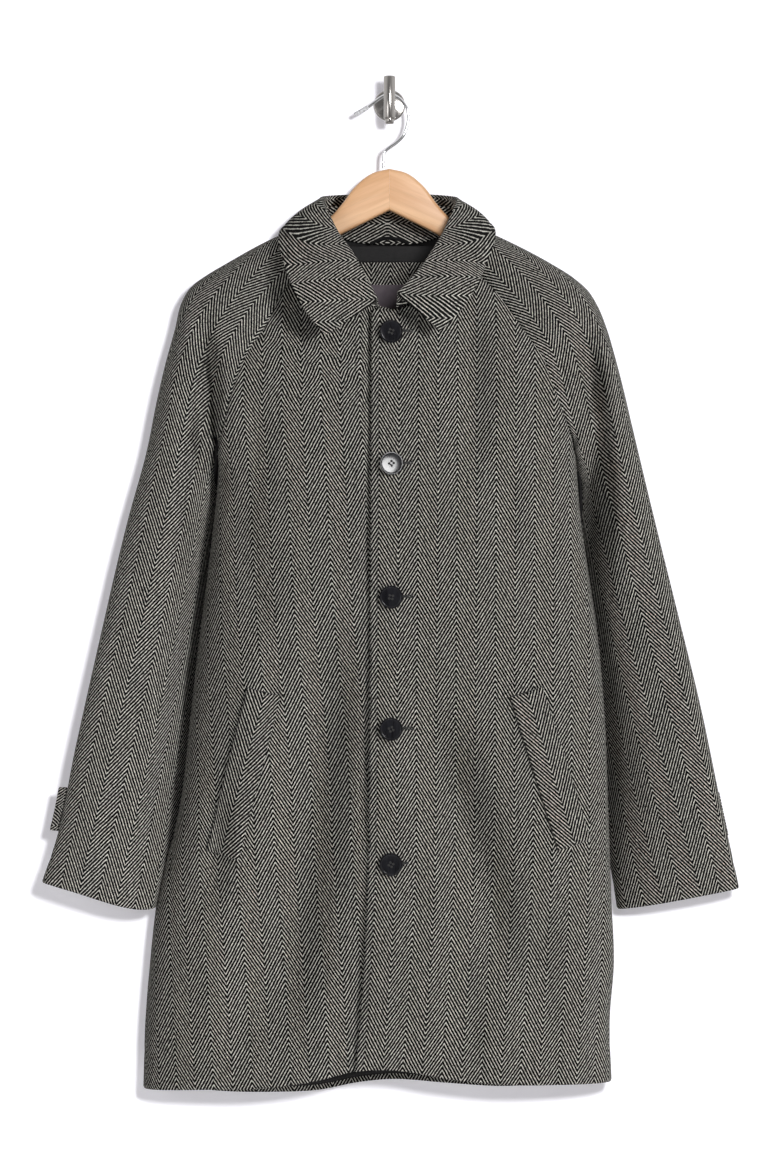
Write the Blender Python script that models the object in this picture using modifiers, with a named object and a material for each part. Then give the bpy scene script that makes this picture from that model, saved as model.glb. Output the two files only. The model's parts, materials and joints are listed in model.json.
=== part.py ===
"""A herringbone raglan overcoat, buttoned up, hanging on a wooden hanger from a wall hook.

Metres, +Z up, +X to the viewer's right, the wall in the plane y = 0 and the coat in front of it (y < 0).
The origin is the middle of the wall hook's back face. Left and right are the wearer's.
"""

import math
from collections import namedtuple

import bmesh
import bpy
import numpy as np
from mathutils import Matrix

CLOTH = 0.0020
SEAT = 0.0003
UNDERARM_EASE = 0.0010
TRIM_CLOTH = 0.0012
ROUNDNESS = 0.8
SUPER = 2.0 / ROUNDNESS

LAP_WIDTH = 0.062
LAP_RAISE = CLOTH + 0.0006
NECK_FRONT_Z = -0.252
UNDERARM_FRONT_Z = -0.430
NECK_DIP = 0.018
FLAT_FRONT = 0.044
BACK_NECK_Z = -0.163

YOKE_ROWS = 7
SLEEVE_ROWS = 9
BODY_ROWS = 9
SLEEVE_COLUMNS = 8
FRONT_COLUMNS = 9
BACK_COLUMNS = 16
COLLAR_STEPS = 28

BUTTON_DIAMETER = 0.0267
BUTTON_HEIGHT = 0.0042
BUTTON_X = 0.0020

HANGER_Y = -0.040
HANGER_THICK = 0.014
HANGER_ROUND = 0.004
WIRE_RADIUS = 0.0020
TIP_RADIUS = 0.0026
ROSETTE_RADIUS = 0.0185
ROSETTE_THICK = 0.006
POST_RADIUS = 0.0042
BAR_RADIUS = 0.0068
BAR_HEIGHT = 0.050
BAR_Y = -0.0620

Sleeve = namedtuple("Sleeve", "outer_x outer_y outer_z seam_x seam_y seam_z back_y front back arc")

# One row per sleeve section from the neck to the cuff. The seam columns follow the raglan seam down to the
# underarm, where the arc becomes a full ring, and the under-sleeve seam from there to the cuff.
SLEEVE_RIGHT = [
    Sleeve(-0.0880, -0.040, -0.1431, -0.0920, -0.085, -0.1970, -0.0165, 0.045, 0.0235, 0.50),
    Sleeve(-0.1367, -0.040, -0.1624, -0.1220, -0.092, -0.2271, -0.0125, 0.052, 0.0275, 0.50),
    Sleeve(-0.1907, -0.040, -0.1917, -0.1458, -0.098, -0.2734, -0.0110, 0.058, 0.0290, 0.50),
    Sleeve(-0.2153, -0.040, -0.2064, -0.1614, -0.100, -0.2954, -0.0110, 0.060, 0.0290, 0.50),
    Sleeve(-0.2329, -0.041, -0.2199, -0.1724, -0.101, -0.3174, -0.0120, 0.060, 0.0290, 0.50),
    Sleeve(-0.2423, -0.043, -0.2352, -0.1811, -0.101, -0.3417, -0.0150, 0.058, 0.0285, 0.52),
    Sleeve(-0.2511, -0.046, -0.2696, -0.1880, -0.099, -0.3660, -0.0280, 0.054, 0.0280, 0.58),
    Sleeve(-0.2615, -0.050, -0.3086, -0.1938, -0.095, -0.3902, -0.0560, 0.048, 0.0320, 0.70),
    Sleeve(-0.2728, -0.053, -0.3581, -0.1978, -0.088, -0.4080, -0.0880, 0.038, 0.0340, 1.00),
    Sleeve(-0.2822, -0.056, -0.4070, -0.2001, -0.098, -0.4304, -0.0980, 0.030, 0.0300, 1.00),
    Sleeve(-0.3051, -0.060, -0.4925, -0.2115, -0.101, -0.5162, -0.1010, 0.026, 0.0260, 1.00),
    Sleeve(-0.3378, -0.064, -0.6326, -0.2272, -0.101, -0.6588, -0.1010, 0.024, 0.0230, 1.00),
    Sleeve(-0.3654, -0.068, -0.7572, -0.2399, -0.100, -0.7863, -0.1000, 0.022, 0.0220, 1.00),
    Sleeve(-0.3887, -0.071, -0.8679, -0.2608, -0.096, -0.8894, -0.0960, 0.021, 0.0210, 1.00),
    Sleeve(-0.4041, -0.072, -0.9130, -0.2730, -0.094, -0.9428, -0.0940, 0.020, 0.0200, 1.00),
]
SLEEVE_LEFT = [
    Sleeve(0.0880, -0.040, -0.1431, 0.0900, -0.085, -0.1950, -0.0165, 0.045, 0.0235, 0.50),
    Sleeve(0.1355, -0.040, -0.1640, 0.1255, -0.092, -0.2317, -0.0125, 0.052, 0.0275, 0.50),
    Sleeve(0.1907, -0.040, -0.1930, 0.1475, -0.098, -0.2630, -0.0110, 0.058, 0.0290, 0.50),
    Sleeve(0.2153, -0.040, -0.2085, 0.1637, -0.100, -0.2861, -0.0110, 0.060, 0.0290, 0.50),
    Sleeve(0.2336, -0.041, -0.2252, 0.1787, -0.101, -0.3081, -0.0120, 0.060, 0.0290, 0.50),
    Sleeve(0.2439, -0.043, -0.2424, 0.1868, -0.101, -0.3312, -0.0150, 0.058, 0.0285, 0.52),
    Sleeve(0.2537, -0.046, -0.2673, 0.1961, -0.098, -0.3540, -0.0230, 0.054, 0.0280, 0.58),
    Sleeve(0.2622, -0.050, -0.2969, 0.2060, -0.091, -0.3810, -0.0400, 0.048, 0.0320, 0.70),
    Sleeve(0.2734, -0.053, -0.3406, 0.2150, -0.072, -0.4095, -0.0720, 0.040, 0.0320, 1.00),
    Sleeve(0.2843, -0.055, -0.3872, 0.2205, -0.060, -0.4441, -0.0600, 0.034, 0.0280, 1.00),
    Sleeve(0.3039, -0.056, -0.4692, 0.2260, -0.046, -0.5020, -0.0460, 0.030, 0.0260, 1.00),
    Sleeve(0.3343, -0.056, -0.5917, 0.2400, -0.040, -0.6254, -0.0400, 0.027, 0.0240, 1.00),
    Sleeve(0.3623, -0.058, -0.7061, 0.2490, -0.038, -0.7465, -0.0380, 0.025, 0.0220, 1.00),
    Sleeve(0.3872, -0.058, -0.8247, 0.2555, -0.039, -0.8571, -0.0390, 0.023, 0.0210, 1.00),
    Sleeve(0.4083, -0.058, -0.9214, 0.2672, -0.042, -0.9479, -0.0420, 0.021, 0.0200, 1.00),
]
UNDERARM = 8
BACK_NECK_X = 0.068
BACK_NECK_SIDE_Z = -0.152
BACK_SEAM_EASE = 1.5

Side = namedtuple("Side", "z right_x right_y left_x left_y")

# The side seams of the body below the underarms.
SIDE_SEAMS = [
    Side(-0.440, -0.2050, -0.064, 0.2182, -0.068),
    Side(-0.480, -0.2130, -0.050, 0.2215, -0.067),
    Side(-0.540, -0.2240, -0.045, 0.2295, -0.066),
    Side(-0.633, -0.2365, -0.045, 0.2430, -0.066),
    Side(-0.720, -0.2470, -0.045, 0.2505, -0.066),
    Side(-0.820, -0.2590, -0.045, 0.2545, -0.065),
    Side(-0.937, -0.2721, -0.045, 0.2590, -0.060),
    Side(-1.011, -0.2805, -0.045, 0.2620, -0.056),
    Side(-1.072, -0.2855, -0.045, 0.2575, -0.053),
    Side(-1.160, -0.2884, -0.045, 0.2603, -0.050),
]

Depth = namedtuple("Depth", "z front_y back_y edge_x")

# The middle of the front and back, and the top front's edge, at each level.
DEPTHS = [
    Depth(-0.150, -0.098, -0.0120, -0.0200),
    Depth(-0.250, -0.108, -0.0100, -0.0201),
    Depth(-0.330, -0.114, -0.0090, -0.0205),
    Depth(-0.450, -0.116, -0.0085, -0.0210),
    Depth(-0.700, -0.116, -0.0085, -0.0228),
    Depth(-0.900, -0.114, -0.0090, -0.0245),
    Depth(-1.000, -0.111, -0.0105, -0.0295),
    Depth(-1.070, -0.109, -0.0120, -0.0345),
    Depth(-1.160, -0.106, -0.0130, -0.0420),
]

Hem = namedtuple("Hem", "x front_z back_z")

HEM = [
    Hem(-0.290, -1.1560, -1.1570),
    Hem(-0.220, -1.1520, -1.1650),
    Hem(-0.140, -1.1480, -1.1670),
    Hem(-0.080, -1.1390, -1.1640),
    Hem(-0.040, -1.1290, -1.1560),
    Hem(0.000, -1.1270, -1.1520),
    Hem(0.065, -1.1370, -1.1560),
    Hem(0.130, -1.1444, -1.1600),
    Hem(0.200, -1.1460, -1.1560),
    Hem(0.265, -1.1470, -1.1480),
]

Collar = namedtuple("Collar", "neck fold edge")

# Collar stations from the wearer's right front end, around the back of the neck, to the left front end.
COLLAR = [
    Collar((-0.0100, -0.1125, -0.2500), (-0.0150, -0.1230, -0.2440), (-0.0727, -0.1290, -0.2826)),
    Collar((-0.0430, -0.1125, -0.2410), (-0.0275, -0.1205, -0.2220), (-0.0888, -0.1280, -0.2649)),
    Collar((-0.0740, -0.1070, -0.2210), (-0.0420, -0.1110, -0.1935), (-0.1060, -0.1220, -0.2369)),
    Collar((-0.0865, -0.0915, -0.1935), (-0.0620, -0.0910, -0.1630), (-0.1205, -0.1080, -0.2015)),
    Collar((-0.0850, -0.0655, -0.1470), (-0.0730, -0.0720, -0.1400), (-0.1290, -0.0840, -0.1690)),
    Collar((-0.0845, -0.0400, -0.1410), (-0.0800, -0.0480, -0.1190), (-0.1270, -0.0400, -0.1520)),
    Collar((-0.0815, -0.0280, -0.1425), (-0.0740, -0.0290, -0.1145), (-0.1160, -0.0160, -0.1560)),
    Collar((-0.0650, -0.0205, -0.1550), (-0.0600, -0.0160, -0.1120), (-0.0900, -0.0062, -0.1640)),
    Collar((0.0000, -0.0165, -0.1675), (0.0000, -0.0120, -0.1100), (0.0000, -0.0056, -0.1720)),
    Collar((0.0650, -0.0205, -0.1550), (0.0600, -0.0160, -0.1120), (0.0900, -0.0062, -0.1640)),
    Collar((0.0815, -0.0280, -0.1425), (0.0740, -0.0290, -0.1150), (0.1120, -0.0160, -0.1540)),
    Collar((0.0845, -0.0400, -0.1410), (0.0800, -0.0480, -0.1200), (0.1215, -0.0400, -0.1490)),
    Collar((0.0850, -0.0655, -0.1470), (0.0725, -0.0720, -0.1450), (0.1228, -0.0840, -0.1660)),
    Collar((0.0850, -0.0935, -0.1925), (0.0615, -0.0910, -0.1690), (0.1121, -0.1030, -0.1960)),
    Collar((0.0730, -0.1090, -0.2200), (0.0410, -0.1110, -0.2020), (0.0983, -0.1150, -0.2280)),
    Collar((0.0420, -0.1125, -0.2400), (0.0240, -0.1205, -0.2230), (0.0787, -0.1210, -0.2570)),
    Collar((0.0080, -0.1125, -0.2490), (0.0100, -0.1230, -0.2370), (0.0580, -0.1245, -0.2774)),
]
ROLL = 0.0036
ROLL_RISE = 0.0045
STAND_SEAM = 0.0080
LEAF_BULGE = 0.0040

Welt = namedtuple("Welt", "top_x top_z foot_x foot_z width")

WELT_RIGHT = Welt(-0.1448, -0.6920, -0.1925, -0.8800, 0.0390)
WELT_LEFT = Welt(0.1575, -0.6920, 0.2130, -0.8680, 0.0390)

BUTTON_LEVELS = [-0.2768, -0.4290, -0.5822, -0.7340, -0.8892]

WIRE_PATH = [
    (-0.0073, -0.0812), (-0.0073, -0.0680), (-0.0060, -0.0600), (-0.0010, -0.0550), (0.0075, -0.0500),
    (0.0158, -0.0425), (0.0205, -0.0320), (0.0226, -0.0210), (0.0212, -0.0095), (0.0150, -0.0005),
    (0.0078, 0.0052), (0.0000, 0.0076), (-0.0080, 0.0050), (-0.0160, -0.0005), (-0.0250, -0.0075),
]
TIP_PATH = [(-0.0254, -0.0079), (-0.0330, -0.0126), (-0.0410, -0.0170)]

HANGER_TOP = [(0.0000, -0.0803), (0.0200, -0.0855), (0.0400, -0.1010), (0.0560, -0.1220), (0.0710, -0.1380)]
HANGER_UNDER = [(0.2000, -0.2240), (0.1370, -0.1920), (0.0610, -0.1594), (0.0000, -0.1290)]
HANGER_END = 0.2070


def smooth(stations, values, at):
    """Values read along stations by a smooth curve through every row."""
    x = np.asarray(stations, float)
    y = np.asarray(values, float).reshape(len(x), -1)
    at = np.clip(np.asarray(at, float), x[0], x[-1])
    step = np.diff(x)
    slope = np.diff(y, axis=0) / step[:, None]
    tangent = np.empty_like(y)
    tangent[0] = slope[0]
    tangent[-1] = slope[-1]
    before = step[:-1, None]
    after = step[1:, None]
    tangent[1:-1] = (slope[:-1] * after + slope[1:] * before) / (before + after)
    k = np.clip(np.searchsorted(x, at, side="right") - 1, 0, len(x) - 2)
    h = step[k]
    t = ((at - x[k]) / h)[:, None]
    h = h[:, None]
    return (
        y[k] * (2 * t**3 - 3 * t**2 + 1)
        + tangent[k] * h * (t**3 - 2 * t**2 + t)
        + y[k + 1] * (3 * t**2 - 2 * t**3)
        + tangent[k + 1] * h * (t**3 - t**2)
    )


def level(table, column, z):
    """A column of a table whose rows run downwards, read at heights z."""
    heights = [-row.z for row in table]
    return smooth(heights, [getattr(row, column) for row in table], -np.ravel(z)).reshape(np.shape(z))


def rounded(value, power):
    return np.sign(value) * np.abs(value) ** power


def sleeve_lengths(table):
    """Distance of each sleeve section from the neck, along the outer seam."""
    outer = np.array([(row.outer_x, row.outer_z) for row in table])
    return np.concatenate([[0.0], np.cumsum(np.linalg.norm(np.diff(outer, axis=0), axis=1))])


def sleeve_half(table, along, around, back=False):
    """Points of the front or back half of a sleeve: rows down its length, columns from outer seam to inner."""
    lengths = sleeve_lengths(table)
    rows = np.array(table)
    if back:
        sign = np.sign(table[UNDERARM].outer_x)
        ease = np.clip(1 - np.arange(len(table)) / UNDERARM, 0, 1) ** BACK_SEAM_EASE
        rows[:, 3] += (sign * BACK_NECK_X - rows[0, 3]) * ease
        rows[:, 5] += (BACK_NECK_SIDE_Z - rows[0, 5]) * ease
        rows[:, 4] = rows[:, 6]
    read = smooth(lengths, rows, along)
    ox, oy, oz, ex, ey, ez, _, front, behind, arc = (read[:, i : i + 1] for i in range(10))
    arc = np.clip(arc, 0.5, 1.0)
    depth = behind if back else -front
    angle = np.asarray(around)[None, :] * arc * math.pi
    chord = (1 - rounded(np.cos(angle), ROUNDNESS)) / 2
    chord_end = (1 - rounded(np.cos(arc * math.pi), ROUNDNESS)) / 2
    swell = np.clip(np.sin(angle), 0, 1) ** ROUNDNESS
    swell_end = np.clip(np.sin(arc * math.pi), 0, 1) ** ROUNDNESS
    share = chord / chord_end
    x = ox + (ex - ox) * share
    z = oz + (ez - oz) * share
    y = oy + (ey - oy - depth * swell_end) * share + depth * swell
    return np.stack([x, y, z], axis=-1)


def sleeve_rows(table):
    lengths = sleeve_lengths(table)
    yoke = np.linspace(0, lengths[UNDERARM], YOKE_ROWS + 1)
    arm = np.linspace(lengths[UNDERARM], lengths[-1], SLEEVE_ROWS + 1)
    return yoke, np.concatenate([yoke, arm[1:]])


def body_border(table, side, back=False):
    """Side border of a body panel by height: the raglan seam, then the side seam to the hem."""
    yoke, _ = sleeve_rows(table)
    fine = np.linspace(0, yoke[-1], 40)
    seam = sleeve_half(table, fine, [1.0], back)[:, 0]
    below = np.array([(getattr(row, side + "_x"), getattr(row, side + "_y"), row.z) for row in SIDE_SEAMS])
    return np.concatenate([seam, below])


def panel_depth(x, z, border, back=False):
    """Depth of the body's front or back at a place on it."""
    high = np.minimum.accumulate(border[:, 2]) - np.arange(len(border)) * 1e-7
    edge = smooth(-high, border[:, :2], -np.ravel(z))
    edge_x = edge[:, 0].reshape(np.shape(z))
    edge_y = edge[:, 1].reshape(np.shape(z))
    middle = level(DEPTHS, "back_y" if back else "front_y", z)
    flat = np.sign(edge_x) * FLAT_FRONT
    share = np.clip((np.asarray(x) - flat) / (edge_x - flat), 0, 1)
    turned = np.clip((-0.30 - np.asarray(z)) / 0.16, 0, 1)
    turned = turned * turned * (3 - 2 * turned)
    drop = (1 - turned) * share**2 + turned * (1 - (1 - share**SUPER) ** (1 / SUPER))
    return middle + (edge_y - middle) * drop


def hem_level(x, column):
    return smooth([row.x for row in HEM], [getattr(row, column) for row in HEM], np.ravel(x)).reshape(np.shape(x))


def border_rows(table, side, back=False):
    """Border points at the panel rows, and how far each row is from the underarm to the hem."""
    yoke, _ = sleeve_rows(table)
    seam = sleeve_half(table, yoke, [1.0], back)[:, 0]
    border = body_border(table, side, back)
    foot_x = getattr(SIDE_SEAMS[-1], side + "_x")
    foot = hem_level(foot_x, "front_z")
    heights = np.linspace(seam[-1, 2], foot, BODY_ROWS + 1)[1:]
    high = np.minimum.accumulate(border[:, 2]) - np.arange(len(border)) * 1e-7
    lower = smooth(-high, border, -heights)
    share = np.concatenate([np.zeros(YOKE_ROWS + 1), np.arange(1, BODY_ROWS + 1) / BODY_ROWS])
    return np.concatenate([seam, lower]), share


def front_panel(table, side, under=False):
    """Outer points of one front, from its front edge to its raglan and side seams."""
    ends, share = border_rows(table, side)
    border = body_border(table, side)
    count = YOKE_ROWS + BODY_ROWS + 1
    step = np.linspace(0, 1, FRONT_COLUMNS + 1)
    grid = np.zeros((count, FRONT_COLUMNS + 1, 3))
    for row in range(count):
        yoke_share = min(row / YOKE_ROWS, 1.0)
        edge_z = NECK_FRONT_Z + (UNDERARM_FRONT_Z - NECK_FRONT_Z) * yoke_share
        turn = min(max((row - YOKE_ROWS + 3) / 4, 0), 1)
        across = (1 - turn) * step + turn * np.sin(step * math.pi / 2) ** ROUNDNESS
        if share[row] > 0:
            edge_z = edge_z + (hem_level(0.0, "front_z") - edge_z) * share[row]
        edge_x = float(level(DEPTHS, "edge_x", np.array([edge_z]))[0]) + (LAP_WIDTH if under else 0.0)
        x = edge_x + (ends[row, 0] - edge_x) * across
        z = edge_z + (ends[row, 2] - edge_z) * across
        z = z - NECK_DIP * (1 - yoke_share) ** 2 * np.sin(math.pi * across)
        if share[row] > 0:
            straight = hem_level(0.0, "front_z")
            straight = straight + (hem_level(ends[-1, 0], "front_z") - straight) * across
            z = z + (hem_level(x, "front_z") - straight) * share[row]
        grid[row, :, 0] = x
        grid[row, :, 1] = panel_depth(x, z, border)
        grid[row, :, 2] = z
        grid[row, -1] = ends[row]
    away = np.clip((np.abs(grid[..., 0]) - 0.055) / 0.05, 0, 1)
    lap = 1 - away * away * (3 - 2 * away)
    if under:
        grid[..., 1] += LAP_RAISE * lap
    return grid


def back_panel():
    """Outer points of the back, from the right border to the left."""
    right, share = border_rows(SLEEVE_RIGHT, "right", True)
    left, _ = border_rows(SLEEVE_LEFT, "left", True)
    borders = (body_border(SLEEVE_RIGHT, "right", True), body_border(SLEEVE_LEFT, "left", True))
    count = YOKE_ROWS + BODY_ROWS + 1
    step = np.linspace(-1, 1, BACK_COLUMNS + 1)
    grid = np.zeros((count, BACK_COLUMNS + 1, 3))
    for row in range(count):
        yoke_share = min(row / YOKE_ROWS, 1.0)
        middle_z = BACK_NECK_Z + (-0.415 - BACK_NECK_Z) * yoke_share
        if share[row] > 0:
            middle_z = middle_z + (hem_level(0.0, "back_z") - middle_z) * share[row]
        turn = min(max((row - YOKE_ROWS + 3) / 4, 0), 1)
        reach = np.abs(step)
        across = (1 - turn) * reach + turn * np.sin(reach * math.pi / 2) ** ROUNDNESS
        end = np.where((step < 0)[:, None], right[row], left[row])
        x = end[:, 0] * across
        z = middle_z + (end[:, 2] - middle_z) * across ** (2 - turn)
        if share[row] > 0:
            straight = hem_level(0.0, "back_z")
            straight = straight + (hem_level(end[:, 0], "front_z") - straight) * across ** (2 - turn)
            wave = (hem_level(x, "back_z") - straight) * (1 - across**6)
            z = z + wave * share[row]
        y = np.where(
            step < 0, panel_depth(x, z, borders[0], True), panel_depth(x, z, borders[1], True)
        )
        grid[row] = np.stack([x, y, z], axis=-1)
        grid[row, 0] = right[row]
        grid[row, -1] = left[row]
    return grid


def grid_normals(grid, towards):
    """Unit normals of a grid of points, on the side of a direction."""
    down = np.gradient(grid, axis=0)
    across = np.gradient(grid, axis=1)
    normal = np.cross(down, across)
    normal /= np.maximum(np.linalg.norm(normal, axis=-1, keepdims=True), 1e-12)
    middle = normal[grid.shape[0] // 2, grid.shape[1] // 2]
    return normal if np.dot(middle, towards) > 0 else -normal


def share_normals(first, second):
    """Give two seam edges the same normals, so that their rims stay parallel."""
    both = first + second
    both = both / np.maximum(np.linalg.norm(both, axis=-1, keepdims=True), 1e-12)
    first[...] = both
    second[...] = both


def pull_back(grid, first=0.0, last=0.0, top=0.0, foot=0.0):
    """Draw the borders of a grid back from its seams, within its own surface."""
    moves = ((0, 1, 1, first), (-1, -2, 1, last), (0, 1, 0, top), (-1, -2, 0, foot))
    for edge, inner, axis, distance in moves:
        if np.any(distance):
            border = grid[:, edge] if axis else grid[edge]
            inside = grid[:, inner] if axis else grid[inner]
            direction = inside - border
            border += direction / np.linalg.norm(direction, axis=-1, keepdims=True) * distance
    return grid


def wall_mesh(name, outer, normal, material, thick=CLOTH):
    """A cloth piece: its outer face, the same face moved inwards, and the rim around them."""
    rows, columns = outer.shape[:2]
    inner = outer - normal * thick
    points = np.concatenate([outer.reshape(-1, 3), inner.reshape(-1, 3)])
    index = np.arange(rows * columns).reshape(rows, columns)
    offset = rows * columns
    faces = []
    for r in range(rows - 1):
        for c in range(columns - 1):
            quad = (index[r, c], index[r, c + 1], index[r + 1, c + 1], index[r + 1, c])
            faces.append(quad)
            faces.append(tuple(i + offset for i in reversed(quad)))
    ring = np.concatenate([index[0, :], index[1:, -1], index[-1, -2::-1], index[-2:0:-1, 0]])
    for a, b in zip(ring, np.roll(ring, -1)):
        faces.append((b, a, a + offset, b + offset))
    mesh = bpy.data.meshes.new(name)
    mesh.from_pydata(points.tolist(), [], [tuple(int(i) for i in face) for face in faces])
    return finish(name, mesh, material)


def finish(name, mesh, material):
    """Put a closed mesh into the coat's collection, with its faces outwards."""
    work = bmesh.new()
    work.from_mesh(mesh)
    bmesh.ops.recalc_face_normals(work, faces=work.faces)
    work.to_mesh(mesh)
    work.free()
    item = bpy.data.objects.new(name, mesh)
    mesh.materials.append(material)
    COAT.objects.link(item)
    return item


def patch(name, points, material, thick, towards):
    """A flat piece laid on another: an open surface thickened towards one side."""
    if np.dot(np.cross(points[0, 1] - points[0, 0], points[1, 0] - points[0, 0]), towards) < 0:
        points = points[:, ::-1]
    rows, columns = points.shape[:2]
    index = np.arange(rows * columns).reshape(rows, columns)
    faces = []
    for r in range(rows - 1):
        for c in range(columns - 1):
            corners = (index[r, c], index[r, c + 1], index[r + 1, c + 1], index[r + 1, c])
            faces.append(tuple(int(i) for i in corners))
    mesh = bpy.data.meshes.new(name)
    mesh.from_pydata(points.reshape(-1, 3).tolist(), [], faces)
    mesh.materials.append(material)
    item = bpy.data.objects.new(name, mesh)
    COAT.objects.link(item)
    solid = item.modifiers.new("Thickness", "SOLIDIFY")
    solid.thickness = thick
    solid.offset = 1.0
    solid.use_even_offset = True
    return item


def make_material(name, colour, roughness, metallic=0.0):
    material = bpy.data.materials.new(name)
    material.use_nodes = True
    shader = material.node_tree.nodes["Principled BSDF"]
    shader.inputs["Base Color"].default_value = (*colour, 1.0)
    shader.inputs["Roughness"].default_value = roughness
    shader.inputs["Metallic"].default_value = metallic
    return material


def make_body():
    """Fronts, back and sleeves, with their seams set apart by a seat."""
    front_r = front_panel(SLEEVE_RIGHT, "right", under=True)
    front_l = front_panel(SLEEVE_LEFT, "left")
    back = back_panel()
    normal_fr = grid_normals(front_r, (0, -1, 0))
    normal_fl = grid_normals(front_l, (0, -1, 0))
    normal_b = grid_normals(back, (0, 1, 0))
    panels = {"front_right": (front_r, normal_fr), "front_left": (front_l, normal_fl)}
    for side, table, front_normal, back_column in (
        ("right", SLEEVE_RIGHT, normal_fr, 0),
        ("left", SLEEVE_LEFT, normal_fl, -1),
    ):
        _, rows = sleeve_rows(table)
        around = np.linspace(0, 1, SLEEVE_COLUMNS + 1)
        ahead = sleeve_half(table, rows, around)
        behind = sleeve_half(table, rows, around, True)
        normal_a = grid_normals(ahead, (0, -1, 0))
        normal_s = grid_normals(behind, (0, 1, 0))
        share_normals(normal_a[:, 0], normal_s[:, 0])
        yoke = slice(0, YOKE_ROWS)
        arm = slice(YOKE_ROWS + 1, None)
        share_normals(normal_a[arm, -1], normal_s[arm, -1])
        share_normals(normal_a[yoke, -1], front_normal[yoke, -1])
        share_normals(normal_s[yoke, -1], normal_b[yoke, back_column])
        share_normals(front_normal[arm, -1], normal_b[arm, back_column])
        pit = normal_a[YOKE_ROWS, -1] + normal_s[YOKE_ROWS, -1]
        pit = pit + front_normal[YOKE_ROWS, -1] + normal_b[YOKE_ROWS, back_column] + (0, 0, -1.5)
        pit = pit / np.linalg.norm(pit)
        for normals, column in ((normal_a, -1), (normal_s, -1), (front_normal, -1), (normal_b, back_column)):
            normals[YOKE_ROWS, column] = pit
        panels["sleeve_front_" + side] = (ahead, normal_a)
        panels["sleeve_back_" + side] = (behind, normal_s)
    panels["back"] = (back, normal_b)
    for name, (grid, normal) in panels.items():
        opposite = SEAT if name.startswith(("sleeve", "back")) else 0.0
        ease = np.full((len(grid), 1), SEAT)
        if name.startswith("sleeve"):
            ease[YOKE_ROWS - 1 : YOKE_ROWS + 2] += UNDERARM_EASE
        pull_back(grid, first=opposite, last=ease)
        wall_mesh(name, grid, normal, WOOL)


def unit(vectors):
    return vectors / np.maximum(np.linalg.norm(vectors, axis=-1, keepdims=True), 1e-12)


def collar_lines():
    """Neck, fold and edge lines of the collar, and the way out from the neck along the fold."""
    fold_rows = np.array([row.fold for row in COLLAR])
    station = np.concatenate([[0.0], np.cumsum(np.linalg.norm(np.diff(fold_rows, axis=0), axis=1))])
    at = np.linspace(0, station[-1], COLLAR_STEPS + 1)
    neck = smooth(station, [row.neck for row in COLLAR], at)
    fold = smooth(station, fold_rows, at)
    edge = smooth(station, [row.edge for row in COLLAR], at)
    run = unit(np.gradient(fold, axis=0))
    down = unit(unit(neck - fold) + unit(edge - fold))
    out = unit(np.cross(run, down))
    towards = np.stack([fold[:, 0], fold[:, 1] + 0.055, np.zeros(len(fold))], axis=-1)
    out = np.where(np.sum(out * towards, axis=-1, keepdims=True) < 0, -out, out)
    return neck, fold, edge, down, out


def make_collar():
    """The leaf with its roll, and the stand between the roll and the neck."""
    neck, fold, edge, down, out = collar_lines()
    inner_top = fold - out * ROLL
    inner_run = unit(neck - inner_top)
    seam = inner_top + inner_run * STAND_SEAM
    columns = [seam, inner_top + inner_run * STAND_SEAM * 0.35]
    for share in (0.12, 0.38, 0.62, 0.88):
        angle = share * math.pi
        columns.append(fold - out * ROLL * math.cos(angle) - down * ROLL_RISE * math.sin(angle))
    outer_top = fold + out * ROLL
    leaf = edge - outer_top
    face = unit(np.cross(np.gradient(edge, axis=0), leaf))
    face = np.where(np.sum(face * out, axis=-1, keepdims=True) < 0, -face, face)
    for share in (0.22, 0.48, 0.74, 1.0):
        columns.append(outer_top + leaf * share + face * LEAF_BULGE * math.sin(share * math.pi))
    grid = np.stack(columns, axis=1)
    normal = np.cross(np.gradient(grid, axis=0), np.gradient(grid, axis=1))
    normal = unit(normal)
    if np.dot(normal[COLLAR_STEPS // 2, -1], (0, 1, 0)) < 0:
        normal = -normal
    wall_mesh("collar_fall", grid, normal, WOOL)
    low = neck - unit(neck - seam) * 0.0012
    high = seam + inner_run * 3 * SEAT
    stand = np.stack([low, low * 0.5 + high * 0.5, high], axis=1)
    stand_normal = unit(np.cross(np.gradient(stand, axis=0), np.gradient(stand, axis=1)))
    if np.dot(stand_normal[COLLAR_STEPS // 2, 1], (0, -1, 0)) < 0:
        stand_normal = -stand_normal
    stand_normal[:, -1] = normal[:, 0]
    wall_mesh("collar_stand", stand, stand_normal, WOOL)


def make_welt(name, welt, table, side):
    """A slanted pocket welt on a front panel."""
    border = body_border(table, side)
    along = np.linspace(0, 1, 7)[:, None]
    across = np.linspace(-0.5, 0.5, 4)[None, :]
    run = np.array((welt.foot_x - welt.top_x, welt.foot_z - welt.top_z))
    run = run / np.linalg.norm(run)
    wide = np.array((-run[1], run[0]))
    x = welt.top_x + (welt.foot_x - welt.top_x) * along + wide[0] * across * welt.width
    z = welt.top_z + (welt.foot_z - welt.top_z) * along + wide[1] * across * welt.width
    y = panel_depth(x, z, border) - 0.0009
    patch(name, np.stack([x, y, z], axis=-1), WOOL, CLOTH, (0, -1, 0))


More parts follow.
